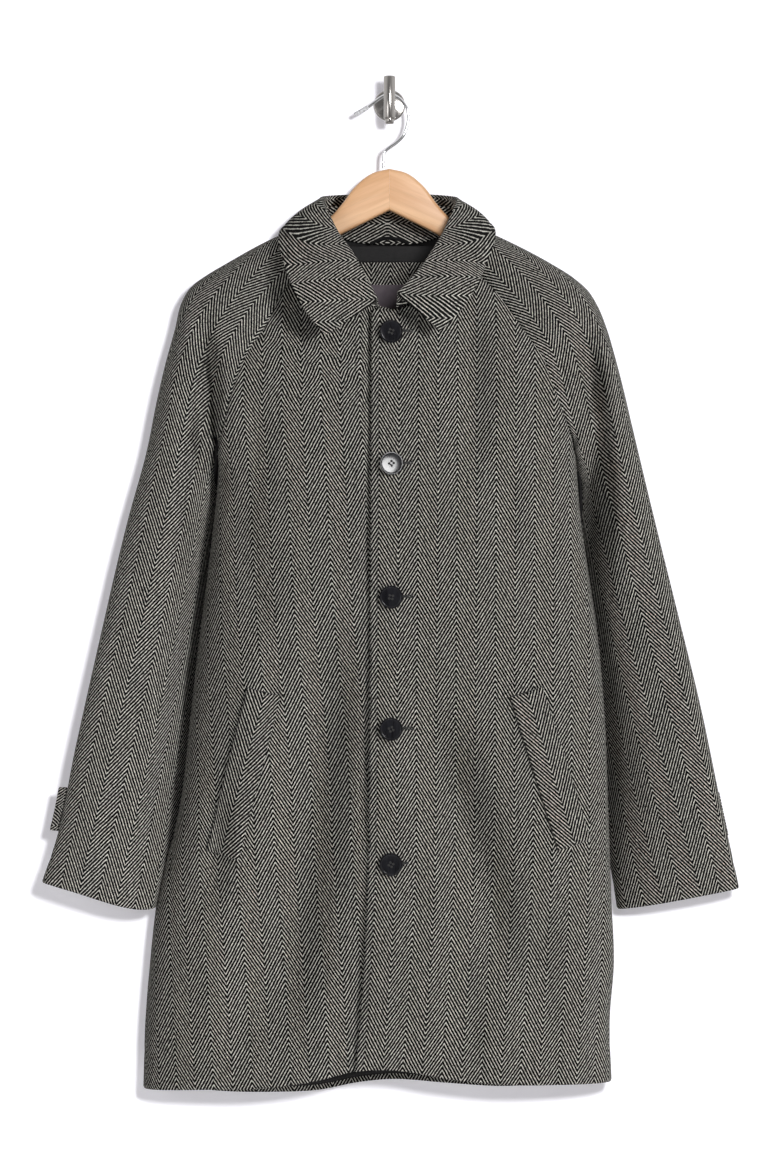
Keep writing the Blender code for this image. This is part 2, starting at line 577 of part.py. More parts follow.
def make_inside():
    """Facing, lining, bare label and hanger loop at the back of the neck, and the lining by the back hem."""
    border = body_border(SLEEVE_LEFT, "left", True)

    def strip(name, half_width, top, foot, lift, thick, material, shift=0.0, columns=8, rows=3):
        x = np.linspace(-half_width, half_width, columns + 1)[None, :] + shift + np.zeros((rows + 1, 1))
        share = np.linspace(0, 1, rows + 1)[:, None]
        z = (top + (foot - top) * share) + np.zeros_like(x)
        y = panel_depth(np.abs(x), z, border, True) - CLOTH - lift
        patch(name, np.stack([x, y, z], axis=-1), material, thick, (0, -1, 0))

    strip("neck_lining", 0.070, -0.1680, -0.1870, 0.0010, TRIM_CLOTH, LINING)
    strip("back_neck_facing", 0.078, -0.1874, -0.2480, 0.0010, TRIM_CLOTH, WOOL, rows=4)
    strip("neck_label", 0.0260, -0.2140, -0.2440, 0.0010 + TRIM_CLOTH + SEAT, 0.0010, LABEL, -0.0100, 4)
    strip("hanger_loop", 0.0230, -0.1640, -0.1674, 0.0033, 0.0022, LOOP, 0.0, 6, 1)
    x = np.linspace(-0.18, 0.18, 13)[None, :] + np.zeros((3, 1))
    foot = hem_level(x[0], "back_z") + 0.0085
    z = foot[None, :] + np.array((0.050, 0.025, 0.0))[:, None]
    y = panel_depth(np.abs(x), z, border, True) - CLOTH - 0.0012
    patch("back_hem_lining", np.stack([x, y, z], axis=-1), LINING, TRIM_CLOTH, (0, -1, 0))


def make_tab(name, table):
    """A strap around the back of a cuff, starting at the outer seam."""
    lengths = sleeve_lengths(table)
    at = np.linspace(lengths[-1] - 0.112, lengths[-1] - 0.066, 4)
    around = np.linspace(0.02, 0.55, 9)
    points = sleeve_half(table, at, around, True)
    normal = grid_normals(points, (0, 1, 0))
    points = points + normal * 0.0008
    patch(name, points, WOOL, CLOTH, (0, 1, 0))


def make_button(name, x, z):
    """A turned button with a raised rim, its back a seat in front of the top front."""
    radius = BUTTON_DIAMETER / 2
    y = float(level(DEPTHS, "front_y", np.array([z - radius, z, z + radius])).min()) - SEAT
    profile = [(0.0, 0.0), (radius - 0.0008, 0.0), (radius, 0.0010), (radius, 0.0030)]
    profile += [(radius - 0.0010, BUTTON_HEIGHT), (radius - 0.0024, BUTTON_HEIGHT)]
    profile += [(radius - 0.0040, 0.0030), (0.0, 0.0028)]
    work = bmesh.new()
    points = [work.verts.new((distance, -height, 0.0)) for distance, height in profile]
    edges = [work.edges.new(pair) for pair in zip(points, points[1:])]
    bmesh.ops.spin(
        work, geom=points + edges, cent=(0, 0, 0), axis=(0, 1, 0), angle=2 * math.pi, steps=20, use_merge=True
    )
    bmesh.ops.remove_doubles(work, verts=work.verts, dist=0.00001)
    mesh = bpy.data.meshes.new(name)
    work.to_mesh(mesh)
    work.free()
    mesh.transform(Matrix.Translation((x, y, z)))
    finish(name, mesh, HORN)


def make_rod(name, path, radius, material, y=HANGER_Y):
    """A round rod through points of one upright plane."""
    curve = bpy.data.curves.new(name, "CURVE")
    curve.dimensions = "3D"
    curve.bevel_depth = radius
    curve.bevel_resolution = 3
    curve.resolution_u = 3
    curve.use_fill_caps = True
    spline = curve.splines.new("NURBS")
    spline.points.add(len(path) - 1)
    for point, (x, z) in zip(spline.points, path):
        point.co = (x, y, z, 1.0)
    spline.use_endpoint_u = True
    spline.order_u = 3
    item = bpy.data.objects.new(name, curve)
    graph = bpy.context.evaluated_depsgraph_get()
    COAT.objects.link(item)
    graph.update()
    mesh = bpy.data.meshes.new_from_object(item.evaluated_get(graph))
    bpy.data.objects.remove(item)
    bpy.data.curves.remove(curve)
    work = bmesh.new()
    work.from_mesh(mesh)
    bmesh.ops.remove_doubles(work, verts=work.verts, dist=0.00001)
    work.to_mesh(mesh)
    work.free()
    mesh.materials.clear()
    mesh.name = name
    return finish(name, mesh, material)


def make_arm(name, table, sign):
    """Half of the hanger: a flat outline with rounded edges, its top a seat below the shoulder."""
    outer = np.array([(abs(row.outer_x), row.outer_z) for row in table[:5]])
    under_cloth = (CLOTH + 4 * SEAT) / math.cos(math.radians(29))
    reach = np.linspace(outer[0, 0] + 0.004, HANGER_END - 0.006, 7)
    shoulder = smooth(outer[:, 0], outer[:, 1], reach)[:, 0] - under_cloth
    outline = list(HANGER_TOP) + list(zip(reach, shoulder))
    outline += [(HANGER_END, shoulder[-1] - 0.008), (HANGER_END - 0.004, shoulder[-1] - 0.018)] + HANGER_UNDER
    gap = SEAT / 2
    work = bmesh.new()
    points = []
    for x, z in outline:
        points.append(work.verts.new((sign * max(x, gap), HANGER_Y - HANGER_THICK / 2, z)))
    face = work.faces.new(points)
    made = bmesh.ops.extrude_face_region(work, geom=[face])
    moved = [item for item in made["geom"] if isinstance(item, bmesh.types.BMVert)]
    bmesh.ops.translate(work, verts=moved, vec=(0, HANGER_THICK, 0))
    bmesh.ops.recalc_face_normals(work, faces=work.faces)
    mesh = bpy.data.meshes.new(name)
    work.to_mesh(mesh)
    work.free()
    item = finish(name, mesh, MAPLE)
    bevel = item.modifiers.new("Round edges", "BEVEL")
    bevel.width = HANGER_ROUND
    bevel.segments = 3
    bevel.limit_method = "ANGLE"
    bevel.angle_limit = math.radians(60)
    return item


def make_cylinder(name, radius, length, material, turn, place, round_edge):
    work = bmesh.new()
    bmesh.ops.create_cone(
        work, cap_ends=True, segments=40, radius1=radius, radius2=radius, depth=length, matrix=turn
    )
    mesh = bpy.data.meshes.new(name)
    work.to_mesh(mesh)
    work.free()
    mesh.transform(Matrix.Translation(place))
    item = finish(name, mesh, material)
    if round_edge:
        bevel = item.modifiers.new("Round edges", "BEVEL")
        bevel.width = round_edge
        bevel.segments = 2
        bevel.limit_method = "ANGLE"
        bevel.angle_limit = math.radians(60)
    return item


def make_wall_hook():
    """Rosette on the wall, post standing out from it and an upright bar at the post's end."""
    lying = Matrix.Rotation(math.radians(90), 4, "X")
    rosette = make_cylinder(
        "wall_rosette", ROSETTE_RADIUS, ROSETTE_THICK, NICKEL, lying, (0, -ROSETTE_THICK / 2, 0), 0.0
    )
    rim = rosette.modifiers.new("Round edges", "BEVEL")
    rim.width = 0.0012
    rim.segments = 2
    rim.limit_method = "VGROUP"
    front = rosette.vertex_groups.new(name="front rim")
    front.add([v.index for v in rosette.data.vertices if v.co.y < -ROSETTE_THICK / 2], 1.0, "REPLACE")
    rim.vertex_group = "front rim"
    near = -ROSETTE_THICK - SEAT
    far = BAR_Y + BAR_RADIUS + SEAT
    make_cylinder("wall_post", POST_RADIUS, near - far, NICKEL, lying, (0, (near + far) / 2, 0), 0.0)
    upright = Matrix.Identity(4)
    make_cylinder("wall_bar", BAR_RADIUS, BAR_HEIGHT, NICKEL, upright, (0, BAR_Y, 0), 0.001)


for item in list(bpy.data.objects):
    bpy.data.objects.remove(item)
COAT = bpy.data.collections.new("raglan overcoat on hanger and wall hook")
bpy.context.scene.collection.children.link(COAT)

WOOL = make_material("herringbone wool", (0.135, 0.128, 0.117), 0.95)
LINING = make_material("black lining", (0.018, 0.017, 0.018), 0.5)
LABEL = make_material("woven label", (0.095, 0.078, 0.090), 0.6)
LOOP = make_material("loop tape", (0.010, 0.010, 0.011), 0.7)
HORN = make_material("black horn", (0.012, 0.012, 0.014), 0.25)
MAPLE = make_material("maple", (0.62, 0.42, 0.26), 0.5)
CHROME = make_material("chrome wire", (0.75, 0.75, 0.76), 0.12, 1.0)
CLEAR = make_material("clear tip", (0.80, 0.80, 0.78), 0.2)
NICKEL = make_material("brushed nickel", (0.55, 0.54, 0.52), 0.3, 1.0)

make_body()
make_collar()
make_welt("welt_right", WELT_RIGHT, SLEEVE_RIGHT, "right")
make_welt("welt_left", WELT_LEFT, SLEEVE_LEFT, "left")
make_inside()
make_tab("cuff_tab_right", SLEEVE_RIGHT)
make_tab("cuff_tab_left", SLEEVE_LEFT)
for number, height in enumerate(BUTTON_LEVELS, start=1):
    make_button("button_%d" % number, BUTTON_X, height)
make_arm("hanger_arm_right", SLEEVE_RIGHT, -1)
make_arm("hanger_arm_left", SLEEVE_LEFT, 1)
make_rod("hanger_hook", WIRE_PATH, WIRE_RADIUS, CHROME)
make_rod("hook_tip", TIP_PATH, TIP_RADIUS, CLEAR)
make_wall_hook()
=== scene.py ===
"""A herringbone raglan overcoat on a wooden hanger and a wall hook, laid out as a Blender add-on.

Metres, +Z up, +X to the viewer's right, the wall in the plane y = 0. Left and right are the wearer's.
"""

import json
import math
from collections import namedtuple

import bmesh
import bpy
import numpy as np
from bpy.props import FloatProperty, FloatVectorProperty, PointerProperty
from mathutils import Matrix, Vector

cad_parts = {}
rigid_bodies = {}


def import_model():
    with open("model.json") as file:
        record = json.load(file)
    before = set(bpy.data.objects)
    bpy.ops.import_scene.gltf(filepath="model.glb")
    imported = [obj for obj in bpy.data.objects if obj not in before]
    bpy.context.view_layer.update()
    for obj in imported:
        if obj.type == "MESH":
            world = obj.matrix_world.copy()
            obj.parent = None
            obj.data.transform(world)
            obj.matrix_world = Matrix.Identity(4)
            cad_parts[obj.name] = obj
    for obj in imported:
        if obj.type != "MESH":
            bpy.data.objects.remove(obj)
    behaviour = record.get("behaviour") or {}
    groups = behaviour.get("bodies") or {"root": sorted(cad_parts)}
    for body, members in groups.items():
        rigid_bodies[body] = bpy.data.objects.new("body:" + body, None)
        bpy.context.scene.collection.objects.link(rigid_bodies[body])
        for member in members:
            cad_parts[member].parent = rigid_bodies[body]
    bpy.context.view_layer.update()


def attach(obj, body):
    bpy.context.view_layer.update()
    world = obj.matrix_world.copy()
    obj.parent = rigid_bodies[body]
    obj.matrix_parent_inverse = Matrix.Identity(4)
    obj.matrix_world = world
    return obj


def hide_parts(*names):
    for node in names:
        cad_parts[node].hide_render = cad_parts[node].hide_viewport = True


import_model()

bl_info = {
    "name": "Raglan Overcoat",
    "version": (1, 0, 0),
    "blender": (4, 5, 0),
    "location": "View3D > Sidebar > Overcoat",
    "description": "Builds a herringbone raglan overcoat on its hanger and wall hook",
    "category": "Add Mesh",
}

BODY = "root"
SEAT = 0.0003  # gap between pieces that touch
ROUNDNESS = 0.8  # how full a sleeve's section is
SUPER = 2.0 / ROUNDNESS  # the same for the turn of the body into its side seams
LAP_WIDTH = 0.062  # overlap of the fronts
LAP_RAISE = 0.0026  # how far the lower front lies behind the upper
LAP_GAP = 0.0060  # more room behind the upper front's edge
LAP_GAP_AT, LAP_GAP_WIDTH = -0.0010, 0.0045  # place of that room from the edge, and its half width
LAP_END, LAP_FADE = 0.055, 0.05  # where the lower front comes forward again, and over what width
NECK_FRONT_Z = -0.252
UNDERARM_FRONT_Z = -0.430
UNDERARM_BACK_Z = -0.415
NECK_DIP = 0.018  # sag of the neckline between its ends
FLAT_FRONT = 0.044  # half width of the flat middle of a panel
ROUND_Z, ROUND_REACH = -0.30, 0.16  # below this a panel gets its round turn, within this height
BACK_NECK_Z = -0.163
YOKE = 7  # panel rows from neck to underarm
SKIRT = 9  # panel rows from underarm to hem
UNDERARM = 8  # the sleeve tables' row at the underarm
BACK_NECK_X = 0.068
BACK_NECK_SIDE_Z = -0.152
BACK_SEAM_EASE = 1.5  # bow of the back raglan seam
HANGER_Y = -0.040
BAR_Y = -0.0620

# Sleeve sections from neck to cuff: outer seam, raglan or inner seam, the depth of that seam behind,
# the swell to the front and to the back, and the share of a half turn that the section makes.
Sleeve = namedtuple("Sleeve", "outer_x outer_y outer_z seam_x seam_y seam_z back_y front back arc")
SLEEVES = {
    "right": [
        Sleeve(-0.0880, -0.040, -0.1431, -0.0920, -0.085, -0.1970, -0.0165, 0.045, 0.0235, 0.50),
        Sleeve(-0.1367, -0.040, -0.1624, -0.1220, -0.092, -0.2271, -0.0125, 0.052, 0.0275, 0.50),
        Sleeve(-0.1907, -0.040, -0.1917, -0.1458, -0.098, -0.2734, -0.0110, 0.058, 0.0290, 0.50),
        Sleeve(-0.2153, -0.040, -0.2064, -0.1614, -0.100, -0.2954, -0.0110, 0.060, 0.0290, 0.50),
        Sleeve(-0.2329, -0.041, -0.2199, -0.1724, -0.101, -0.3174, -0.0120, 0.060, 0.0290, 0.50),
        Sleeve(-0.2423, -0.043, -0.2352, -0.1811, -0.101, -0.3417, -0.0150, 0.058, 0.0285, 0.52),
        Sleeve(-0.2511, -0.046, -0.2696, -0.1880, -0.099, -0.3660, -0.0280, 0.054, 0.0280, 0.58),
        Sleeve(-0.2615, -0.050, -0.3086, -0.1938, -0.095, -0.3902, -0.0560, 0.048, 0.0320, 0.70),
        Sleeve(-0.2728, -0.053, -0.3581, -0.1978, -0.084, -0.4080, -0.0840, 0.038, 0.0340, 1.00),
        Sleeve(-0.2822, -0.056, -0.4070, -0.2005, -0.072, -0.4304, -0.0720, 0.034, 0.0260, 1.00),
        Sleeve(-0.3051, -0.060, -0.4925, -0.2105, -0.060, -0.5162, -0.0600, 0.034, 0.0240, 1.00),
        Sleeve(-0.3378, -0.064, -0.6326, -0.2280, -0.058, -0.6588, -0.0580, 0.033, 0.0220, 1.00),
        Sleeve(-0.3654, -0.068, -0.7572, -0.2390, -0.058, -0.7863, -0.0580, 0.030, 0.0210, 1.00),
        Sleeve(-0.3887, -0.071, -0.8679, -0.2595, -0.060, -0.8894, -0.0600, 0.027, 0.0200, 1.00),
        Sleeve(-0.4041, -0.072, -0.9130, -0.2725, -0.062, -0.9428, -0.0620, 0.025, 0.0190, 1.00),
    ],
    "left": [
        Sleeve(0.0880, -0.040, -0.1431, 0.0900, -0.085, -0.1950, -0.0165, 0.045, 0.0235, 0.50),
        Sleeve(0.1355, -0.040, -0.1640, 0.1255, -0.092, -0.2317, -0.0125, 0.052, 0.0275, 0.50),
        Sleeve(0.1907, -0.040, -0.1930, 0.1475, -0.098, -0.2630, -0.0110, 0.058, 0.0290, 0.50),
        Sleeve(0.2153, -0.040, -0.2085, 0.1637, -0.100, -0.2861, -0.0110, 0.060, 0.0290, 0.50),
        Sleeve(0.2336, -0.041, -0.2252, 0.1787, -0.101, -0.3081, -0.0120, 0.060, 0.0290, 0.50),
        Sleeve(0.2439, -0.043, -0.2424, 0.1868, -0.101, -0.3312, -0.0150, 0.058, 0.0285, 0.52),
        Sleeve(0.2537, -0.046, -0.2673, 0.1961, -0.098, -0.3540, -0.0230, 0.054, 0.0280, 0.58),
        Sleeve(0.2622, -0.050, -0.2969, 0.2060, -0.091, -0.3810, -0.0400, 0.048, 0.0320, 0.70),
        Sleeve(0.2734, -0.053, -0.3406, 0.2150, -0.072, -0.4095, -0.0720, 0.040, 0.0320, 1.00),
        Sleeve(0.2843, -0.055, -0.3872, 0.2192, -0.060, -0.4441, -0.0600, 0.034, 0.0280, 1.00),
        Sleeve(0.3039, -0.056, -0.4692, 0.2205, -0.046, -0.5020, -0.0460, 0.030, 0.0260, 1.00),
        Sleeve(0.3343, -0.056, -0.5917, 0.2365, -0.040, -0.6254, -0.0400, 0.027, 0.0240, 1.00),
        Sleeve(0.3623, -0.058, -0.7061, 0.2490, -0.038, -0.7465, -0.0380, 0.025, 0.0220, 1.00),
        Sleeve(0.3872, -0.058, -0.8247, 0.2555, -0.039, -0.8571, -0.0390, 0.023, 0.0210, 1.00),
        Sleeve(0.4083, -0.058, -0.9214, 0.2672, -0.042, -0.9479, -0.0420, 0.021, 0.0200, 1.00),
    ],
}

# The side seams below the underarms.
Side = namedtuple("Side", "z right_x right_y left_x left_y")
SIDE_SEAMS = [
    Side(-0.440, -0.1995, -0.064, 0.2182, -0.068),
    Side(-0.480, -0.2040, -0.050, 0.2215, -0.067),
    Side(-0.540, -0.2110, -0.045, 0.2295, -0.066),
    Side(-0.633, -0.2230, -0.045, 0.2430, -0.066),
    Side(-0.720, -0.2330, -0.045, 0.2505, -0.066),
    Side(-0.820, -0.2445, -0.045, 0.2545, -0.065),
    Side(-0.937, -0.2721, -0.045, 0.2590, -0.060),
    Side(-1.011, -0.2805, -0.045, 0.2620, -0.056),
    Side(-1.072, -0.2855, -0.045, 0.2575, -0.053),
    Side(-1.160, -0.2884, -0.045, 0.2603, -0.050),
]

# Depth of the body along its middle, and the line of the upper front's edge.
Depth = namedtuple("Depth", "z front_y back_y edge_x")
DEPTHS = [
    Depth(-0.150, -0.098, -0.0120, -0.0200),
    Depth(-0.250, -0.108, -0.0100, -0.0201),
    Depth(-0.330, -0.114, -0.0090, -0.0205),
    Depth(-0.450, -0.116, -0.0085, -0.0210),
    Depth(-0.700, -0.116, -0.0085, -0.0228),
    Depth(-0.900, -0.114, -0.0090, -0.0245),
    Depth(-1.000, -0.111, -0.0105, -0.0295),
    Depth(-1.070, -0.109, -0.0120, -0.0345),
    Depth(-1.160, -0.106, -0.0130, -0.0420),
]

# Height of the hem across the coat.
Hem = namedtuple("Hem", "x front_z back_z")
HEM = [
    Hem(-0.290, -1.1560, -1.1570),
    Hem(-0.220, -1.1520, -1.1650),
    Hem(-0.140, -1.1480, -1.1670),
    Hem(-0.080, -1.1390, -1.1640),
    Hem(-0.040, -1.1290, -1.1560),
    Hem(0.000, -1.1270, -1.1520),
    Hem(0.065, -1.1370, -1.1560),
    Hem(0.130, -1.1444, -1.1600),
    Hem(0.200, -1.1460, -1.1560),
    Hem(0.265, -1.1470, -1.1480),
]

# Collar stations around the neck: neck seam, fold and free edge.
Collar = namedtuple("Collar", "neck fold edge")
COLLAR = [
    Collar((-0.0100, -0.1125, -0.2500), (-0.0150, -0.1230, -0.2440), (-0.0727, -0.1345, -0.2826)),
    Collar((-0.0430, -0.1125, -0.2410), (-0.0275, -0.1205, -0.2220), (-0.0888, -0.1345, -0.2649)),
    Collar((-0.0740, -0.1070, -0.2210), (-0.0420, -0.1110, -0.1935), (-0.1060, -0.1290, -0.2369)),
    Collar((-0.0865, -0.0915, -0.1935), (-0.0620, -0.0910, -0.1630), (-0.1205, -0.1135, -0.2015)),
    Collar((-0.0850, -0.0655, -0.1470), (-0.0730, -0.0720, -0.1400), (-0.1290, -0.0840, -0.1690)),
    Collar((-0.0845, -0.0400, -0.1410), (-0.0800, -0.0480, -0.1190), (-0.1270, -0.0400, -0.1520)),
    Collar((-0.0815, -0.0280, -0.1425), (-0.0740, -0.0290, -0.1145), (-0.1160, -0.0160, -0.1560)),
    Collar((-0.0650, -0.0205, -0.1550), (-0.0600, -0.0160, -0.1120), (-0.0900, -0.0062, -0.1640)),
    Collar((0.0000, -0.0165, -0.1675), (0.0000, -0.0120, -0.1100), (0.0000, -0.0056, -0.1720)),
    Collar((0.0650, -0.0205, -0.1550), (0.0600, -0.0160, -0.1120), (0.0900, -0.0062, -0.1640)),
    Collar((0.0815, -0.0280, -0.1425), (0.0740, -0.0290, -0.1150), (0.1120, -0.0160, -0.1540)),
    Collar((0.0845, -0.0400, -0.1410), (0.0800, -0.0480, -0.1200), (0.1215, -0.0400, -0.1490)),
    Collar((0.0850, -0.0655, -0.1470), (0.0725, -0.0720, -0.1450), (0.1228, -0.0840, -0.1660)),
    Collar((0.0850, -0.0935, -0.1925), (0.0615, -0.0910, -0.1690), (0.1121, -0.1030, -0.1960)),
    Collar((0.0730, -0.1090, -0.2200), (0.0410, -0.1110, -0.2020), (0.0983, -0.1150, -0.2280)),
    Collar((0.0420, -0.1125, -0.2400), (0.0240, -0.1205, -0.2230), (0.0787, -0.1245, -0.2570)),
    Collar((0.0080, -0.1125, -0.2490), (0.0100, -0.1230, -0.2370), (0.0580, -0.1290, -0.2774)),
]
ROLL = 0.0036  # half thickness of the roll at the fold
ROLL_RISE = 0.0045
STAND_SEAM = 0.0080  # where the leaf is joined to the stand, below the fold
LEAF_BULGE = 0.0040
LEAF_WIDTH = 0.062
COLLAR_STEPS = 150  # grid rows around the neck, besides those at the ends
COLLAR_COLUMN = 11  # the grid column on top of the roll
COLLAR_SLANT = math.radians(60)  # lean of the weave on the front leaves
COLLAR_APEX = -0.2463  # height on the roll where two weave columns meet

# Pocket welts: the ends of the middle line, and the width.
Welt = namedtuple("Welt", "top_x top_z foot_x foot_z width")
WELTS = {
    "right": Welt(-0.1448, -0.6920, -0.1925, -0.8800, 0.0390),
    "left": Welt(0.1575, -0.6920, 0.2130, -0.8680, 0.0390),
}

# Buttons: height, turn of the holes and the two tilts, in degrees.
Button = namedtuple("Button", "z turn tip_x tip_z")
BUTTONS = [
    Button(-0.2768, 20.0, 3.0, -2.0),
    Button(-0.4290, 40.0, -4.6, 6.4),
    Button(-0.5822, 10.0, 2.0, -3.0),
    Button(-0.7340, 65.0, -2.0, -2.5),
    Button(-0.8892, 30.0, 2.0, -4.0),
]
BUTTON_X = 0.0020
BUTTON_LIFT = 0.8  # how much of a tilted button's lift it keeps

# Bends of the hanger's wire and its sleeve, and outline of a hanger arm, as (x, z).
WIRE_PATH = [
    (-0.0073, -0.0812), (-0.0073, -0.0680), (-0.0060, -0.0600), (-0.0010, -0.0550), (0.0075, -0.0500),
    (0.0158, -0.0425), (0.0205, -0.0320), (0.0226, -0.0210), (0.0212, -0.0095), (0.0150, -0.0005),
    (0.0078, 0.0052), (0.0000, 0.0076), (-0.0080, 0.0050), (-0.0160, -0.0005), (-0.0250, -0.0075),
]
TIP_PATH = [(-0.0254, -0.0079), (-0.0330, -0.0126), (-0.0410, -0.0170)]
HANGER_TOP = [
    (0.0000, -0.0803), (0.0200, -0.0855), (0.0400, -0.1010), (0.0560, -0.1220), (0.0710, -0.1380),
]
HANGER_UNDER = [(0.2000, -0.2240), (0.1370, -0.1920), (0.0610, -0.1594), (0.0000, -0.1290)]
HANGER_END = 0.2070
HANGER_HALF = 0.0070

# Way of the weave's columns down each sleeve, as (x, z).
SLEEVE_GRAIN = {
    "right": [
        (-0.1240, -0.1790), (-0.1475, -0.2039), (-0.1788, -0.2421), (-0.2019, -0.2792), (-0.2193, -0.3197),
        (-0.2308, -0.3659), (-0.2400, -0.4122), (-0.3396, -0.8519), (-0.3700, -0.9850),
    ],
    "left": [
        (0.1240, -0.1790), (0.1475, -0.2039), (0.1788, -0.2421), (0.2019, -0.2792), (0.2193, -0.3197),
        (0.2320, -0.3659), (0.2430, -0.4122), (0.3650, -0.8519), (0.4020, -0.9850),
    ],
}
# The cloth stays this far in front of the wall.
WALL_ROOM = -0.008
# How a sleeve's inner seam goes in behind the body's edge: sideways, inwards, and within what
# length of the underarm; the shares of each half's width where that starts and where it is full; and
# how much of it is lost at the cuff.
Tuck = namedtuple("Tuck", "aside depth reach")
INNER_TUCK = {"right": Tuck(0.0075, 0.0440, 0.13), "left": Tuck(-0.0030, 0.0440, 0.06)}
TUCK_START = {"front": 0.54, "back": 0.86}
TUCK_FULL = 0.98
TUCK_LOSS = 0.85
# The length over which the cuffs sag, and how far; and the sideways place of the weave on the sleeves.
CUFF_REACH = 0.16
CUFF_DROP = {"right": 0.0072, "left": 0.0008}
SLEEVE_SHIFT = {"right": 0.0195, "left": 0.0}
# Sideways lean of the weave's columns on the right front.
Lean = namedtuple("Lean", "z aside")
LEANS = [
    Lean(-0.150, 0.000),
    Lean(-0.270, 0.000),
    Lean(-0.390, 0.003),
    Lean(-0.630, 0.020),
    Lean(-0.900, 0.041),
    Lean(-1.170, 0.060),
]

# Soft folds: the ends of each, its sideways bend, its depth inwards and its half width.
Fold = namedtuple("Fold", "x0 z0 x1 z1 bend depth width")
FOLD_FADE = 0.35  # share of a fold's length in which it fades at either end
FOLD_OVER = 0.15  # how much of the fade is already over at its ends
PANEL_FADE = 0.03  # distance from a seam within which folds fade on fronts and back
SLEEVE_FADE = 0.015
BACK_SHARE = -0.4  # how a sleeve's back half answers the folds of its front half
PIT_DOWN = (0, 0, -1.5)  # turn of the common normal at the underarm
FRONT_FOLDS = [
    Fold(-0.0660, -0.590, -0.1370, -1.130, 0.004, 0.0340, 0.040),
    Fold(-0.1250, -0.620, -0.1500, -0.760, 0.004, 0.0068, 0.016),
    Fold(-0.1950, -0.800, -0.2100, -0.940, 0.004, 0.0081, 0.016),
    Fold(-0.1620, -0.930, -0.1780, -1.140, 0.004, 0.0095, 0.018),
    Fold(-0.0420, -0.900, -0.0520, -1.140, 0.004, 0.0061, 0.016),
    Fold(0.0340, -0.690, 0.1460, -1.060, 0.004, 0.0300, 0.034),
    Fold(0.0800, -0.940, 0.0920, -1.140, 0.004, 0.0108, 0.018),
    Fold(0.0200, -0.850, 0.0360, -0.980, 0.002, 0.0068, 0.011),
    Fold(0.0880, -0.220, 0.0900, -0.460, 0.006, 0.0130, 0.022),
    Fold(0.1800, -0.900, 0.1850, -1.140, -0.004, 0.0081, 0.020),
    Fold(-0.1500, -0.330, -0.1680, -0.520, 0.006, 0.0047, 0.016),
    Fold(0.1350, -0.420, 0.1450, -0.560, -0.004, 0.0054, 0.016),
    Fold(-0.1880, -0.440, -0.1500, -0.640, 0.006, 0.0047, 0.018),
    Fold(0.1960, -0.450, 0.1700, -0.650, -0.006, 0.0041, 0.018),
]
BACK_FOLDS = [
    Fold(-0.0700, -0.760, -0.0900, -1.165, 0.010, 0.0070, 0.024),
    Fold(0.0650, -0.700, 0.0780, -1.160, -0.008, 0.0080, 0.026),
    Fold(0.1500, -0.820, 0.1620, -1.160, -0.006, 0.0060, 0.022),
    Fold(-0.1620, -0.860, -0.1780, -1.165, 0.006, 0.0060, 0.024),
    Fold(-0.0050, -0.820, 0.0020, -1.155, 0.006, -0.0040, 0.030),
    Fold(-0.1450, -0.330, -0.1600, -0.520, 0.008, 0.0050, 0.018),
    Fold(0.1480, -0.320, 0.1640, -0.530, -0.008, 0.0050, 0.018),
    Fold(0.0300, -0.270, 0.0500, -0.620, 0.010, 0.0030, 0.030),
]
SLEEVE_FOLDS = {
    "right": [
        Fold(-0.2170, -0.255, -0.1990, -0.470, 0.004, 0.0250, 0.0105),
        Fold(-0.2343, -0.331, -0.2308, -0.560, 0.005, 0.0160, 0.0110),
        Fold(-0.2600, -0.420, -0.2720, -0.600, 0.006, -0.0030, 0.0200),
        Fold(-0.2480, -0.600, -0.3050, -0.690, 0.006, 0.0035, 0.0140),
        Fold(-0.3300, -0.640, -0.2700, -0.745, -0.006, 0.0030, 0.0130),
        Fold(-0.2620, -0.790, -0.3250, -0.850, 0.005, 0.0022, 0.0130),
    ],
    "left": [
        Fold(0.2219, -0.240, 0.2440, -0.570, 0.0075, 0.0300, 0.0160),
        Fold(0.1953, -0.280, 0.2220, -0.410, -0.004, 0.0090, 0.0100),
        Fold(0.2660, -0.410, 0.2820, -0.600, -0.006, -0.0030, 0.0200),
        Fold(0.2620, -0.600, 0.3120, -0.690, -0.006, 0.0032, 0.0140),
        Fold(0.3400, -0.640, 0.2820, -0.745, 0.006, 0.0028, 0.0130),
        Fold(0.2760, -0.800, 0.3360, -0.860, -0.005, 0.0022, 0.0130),
    ],
}


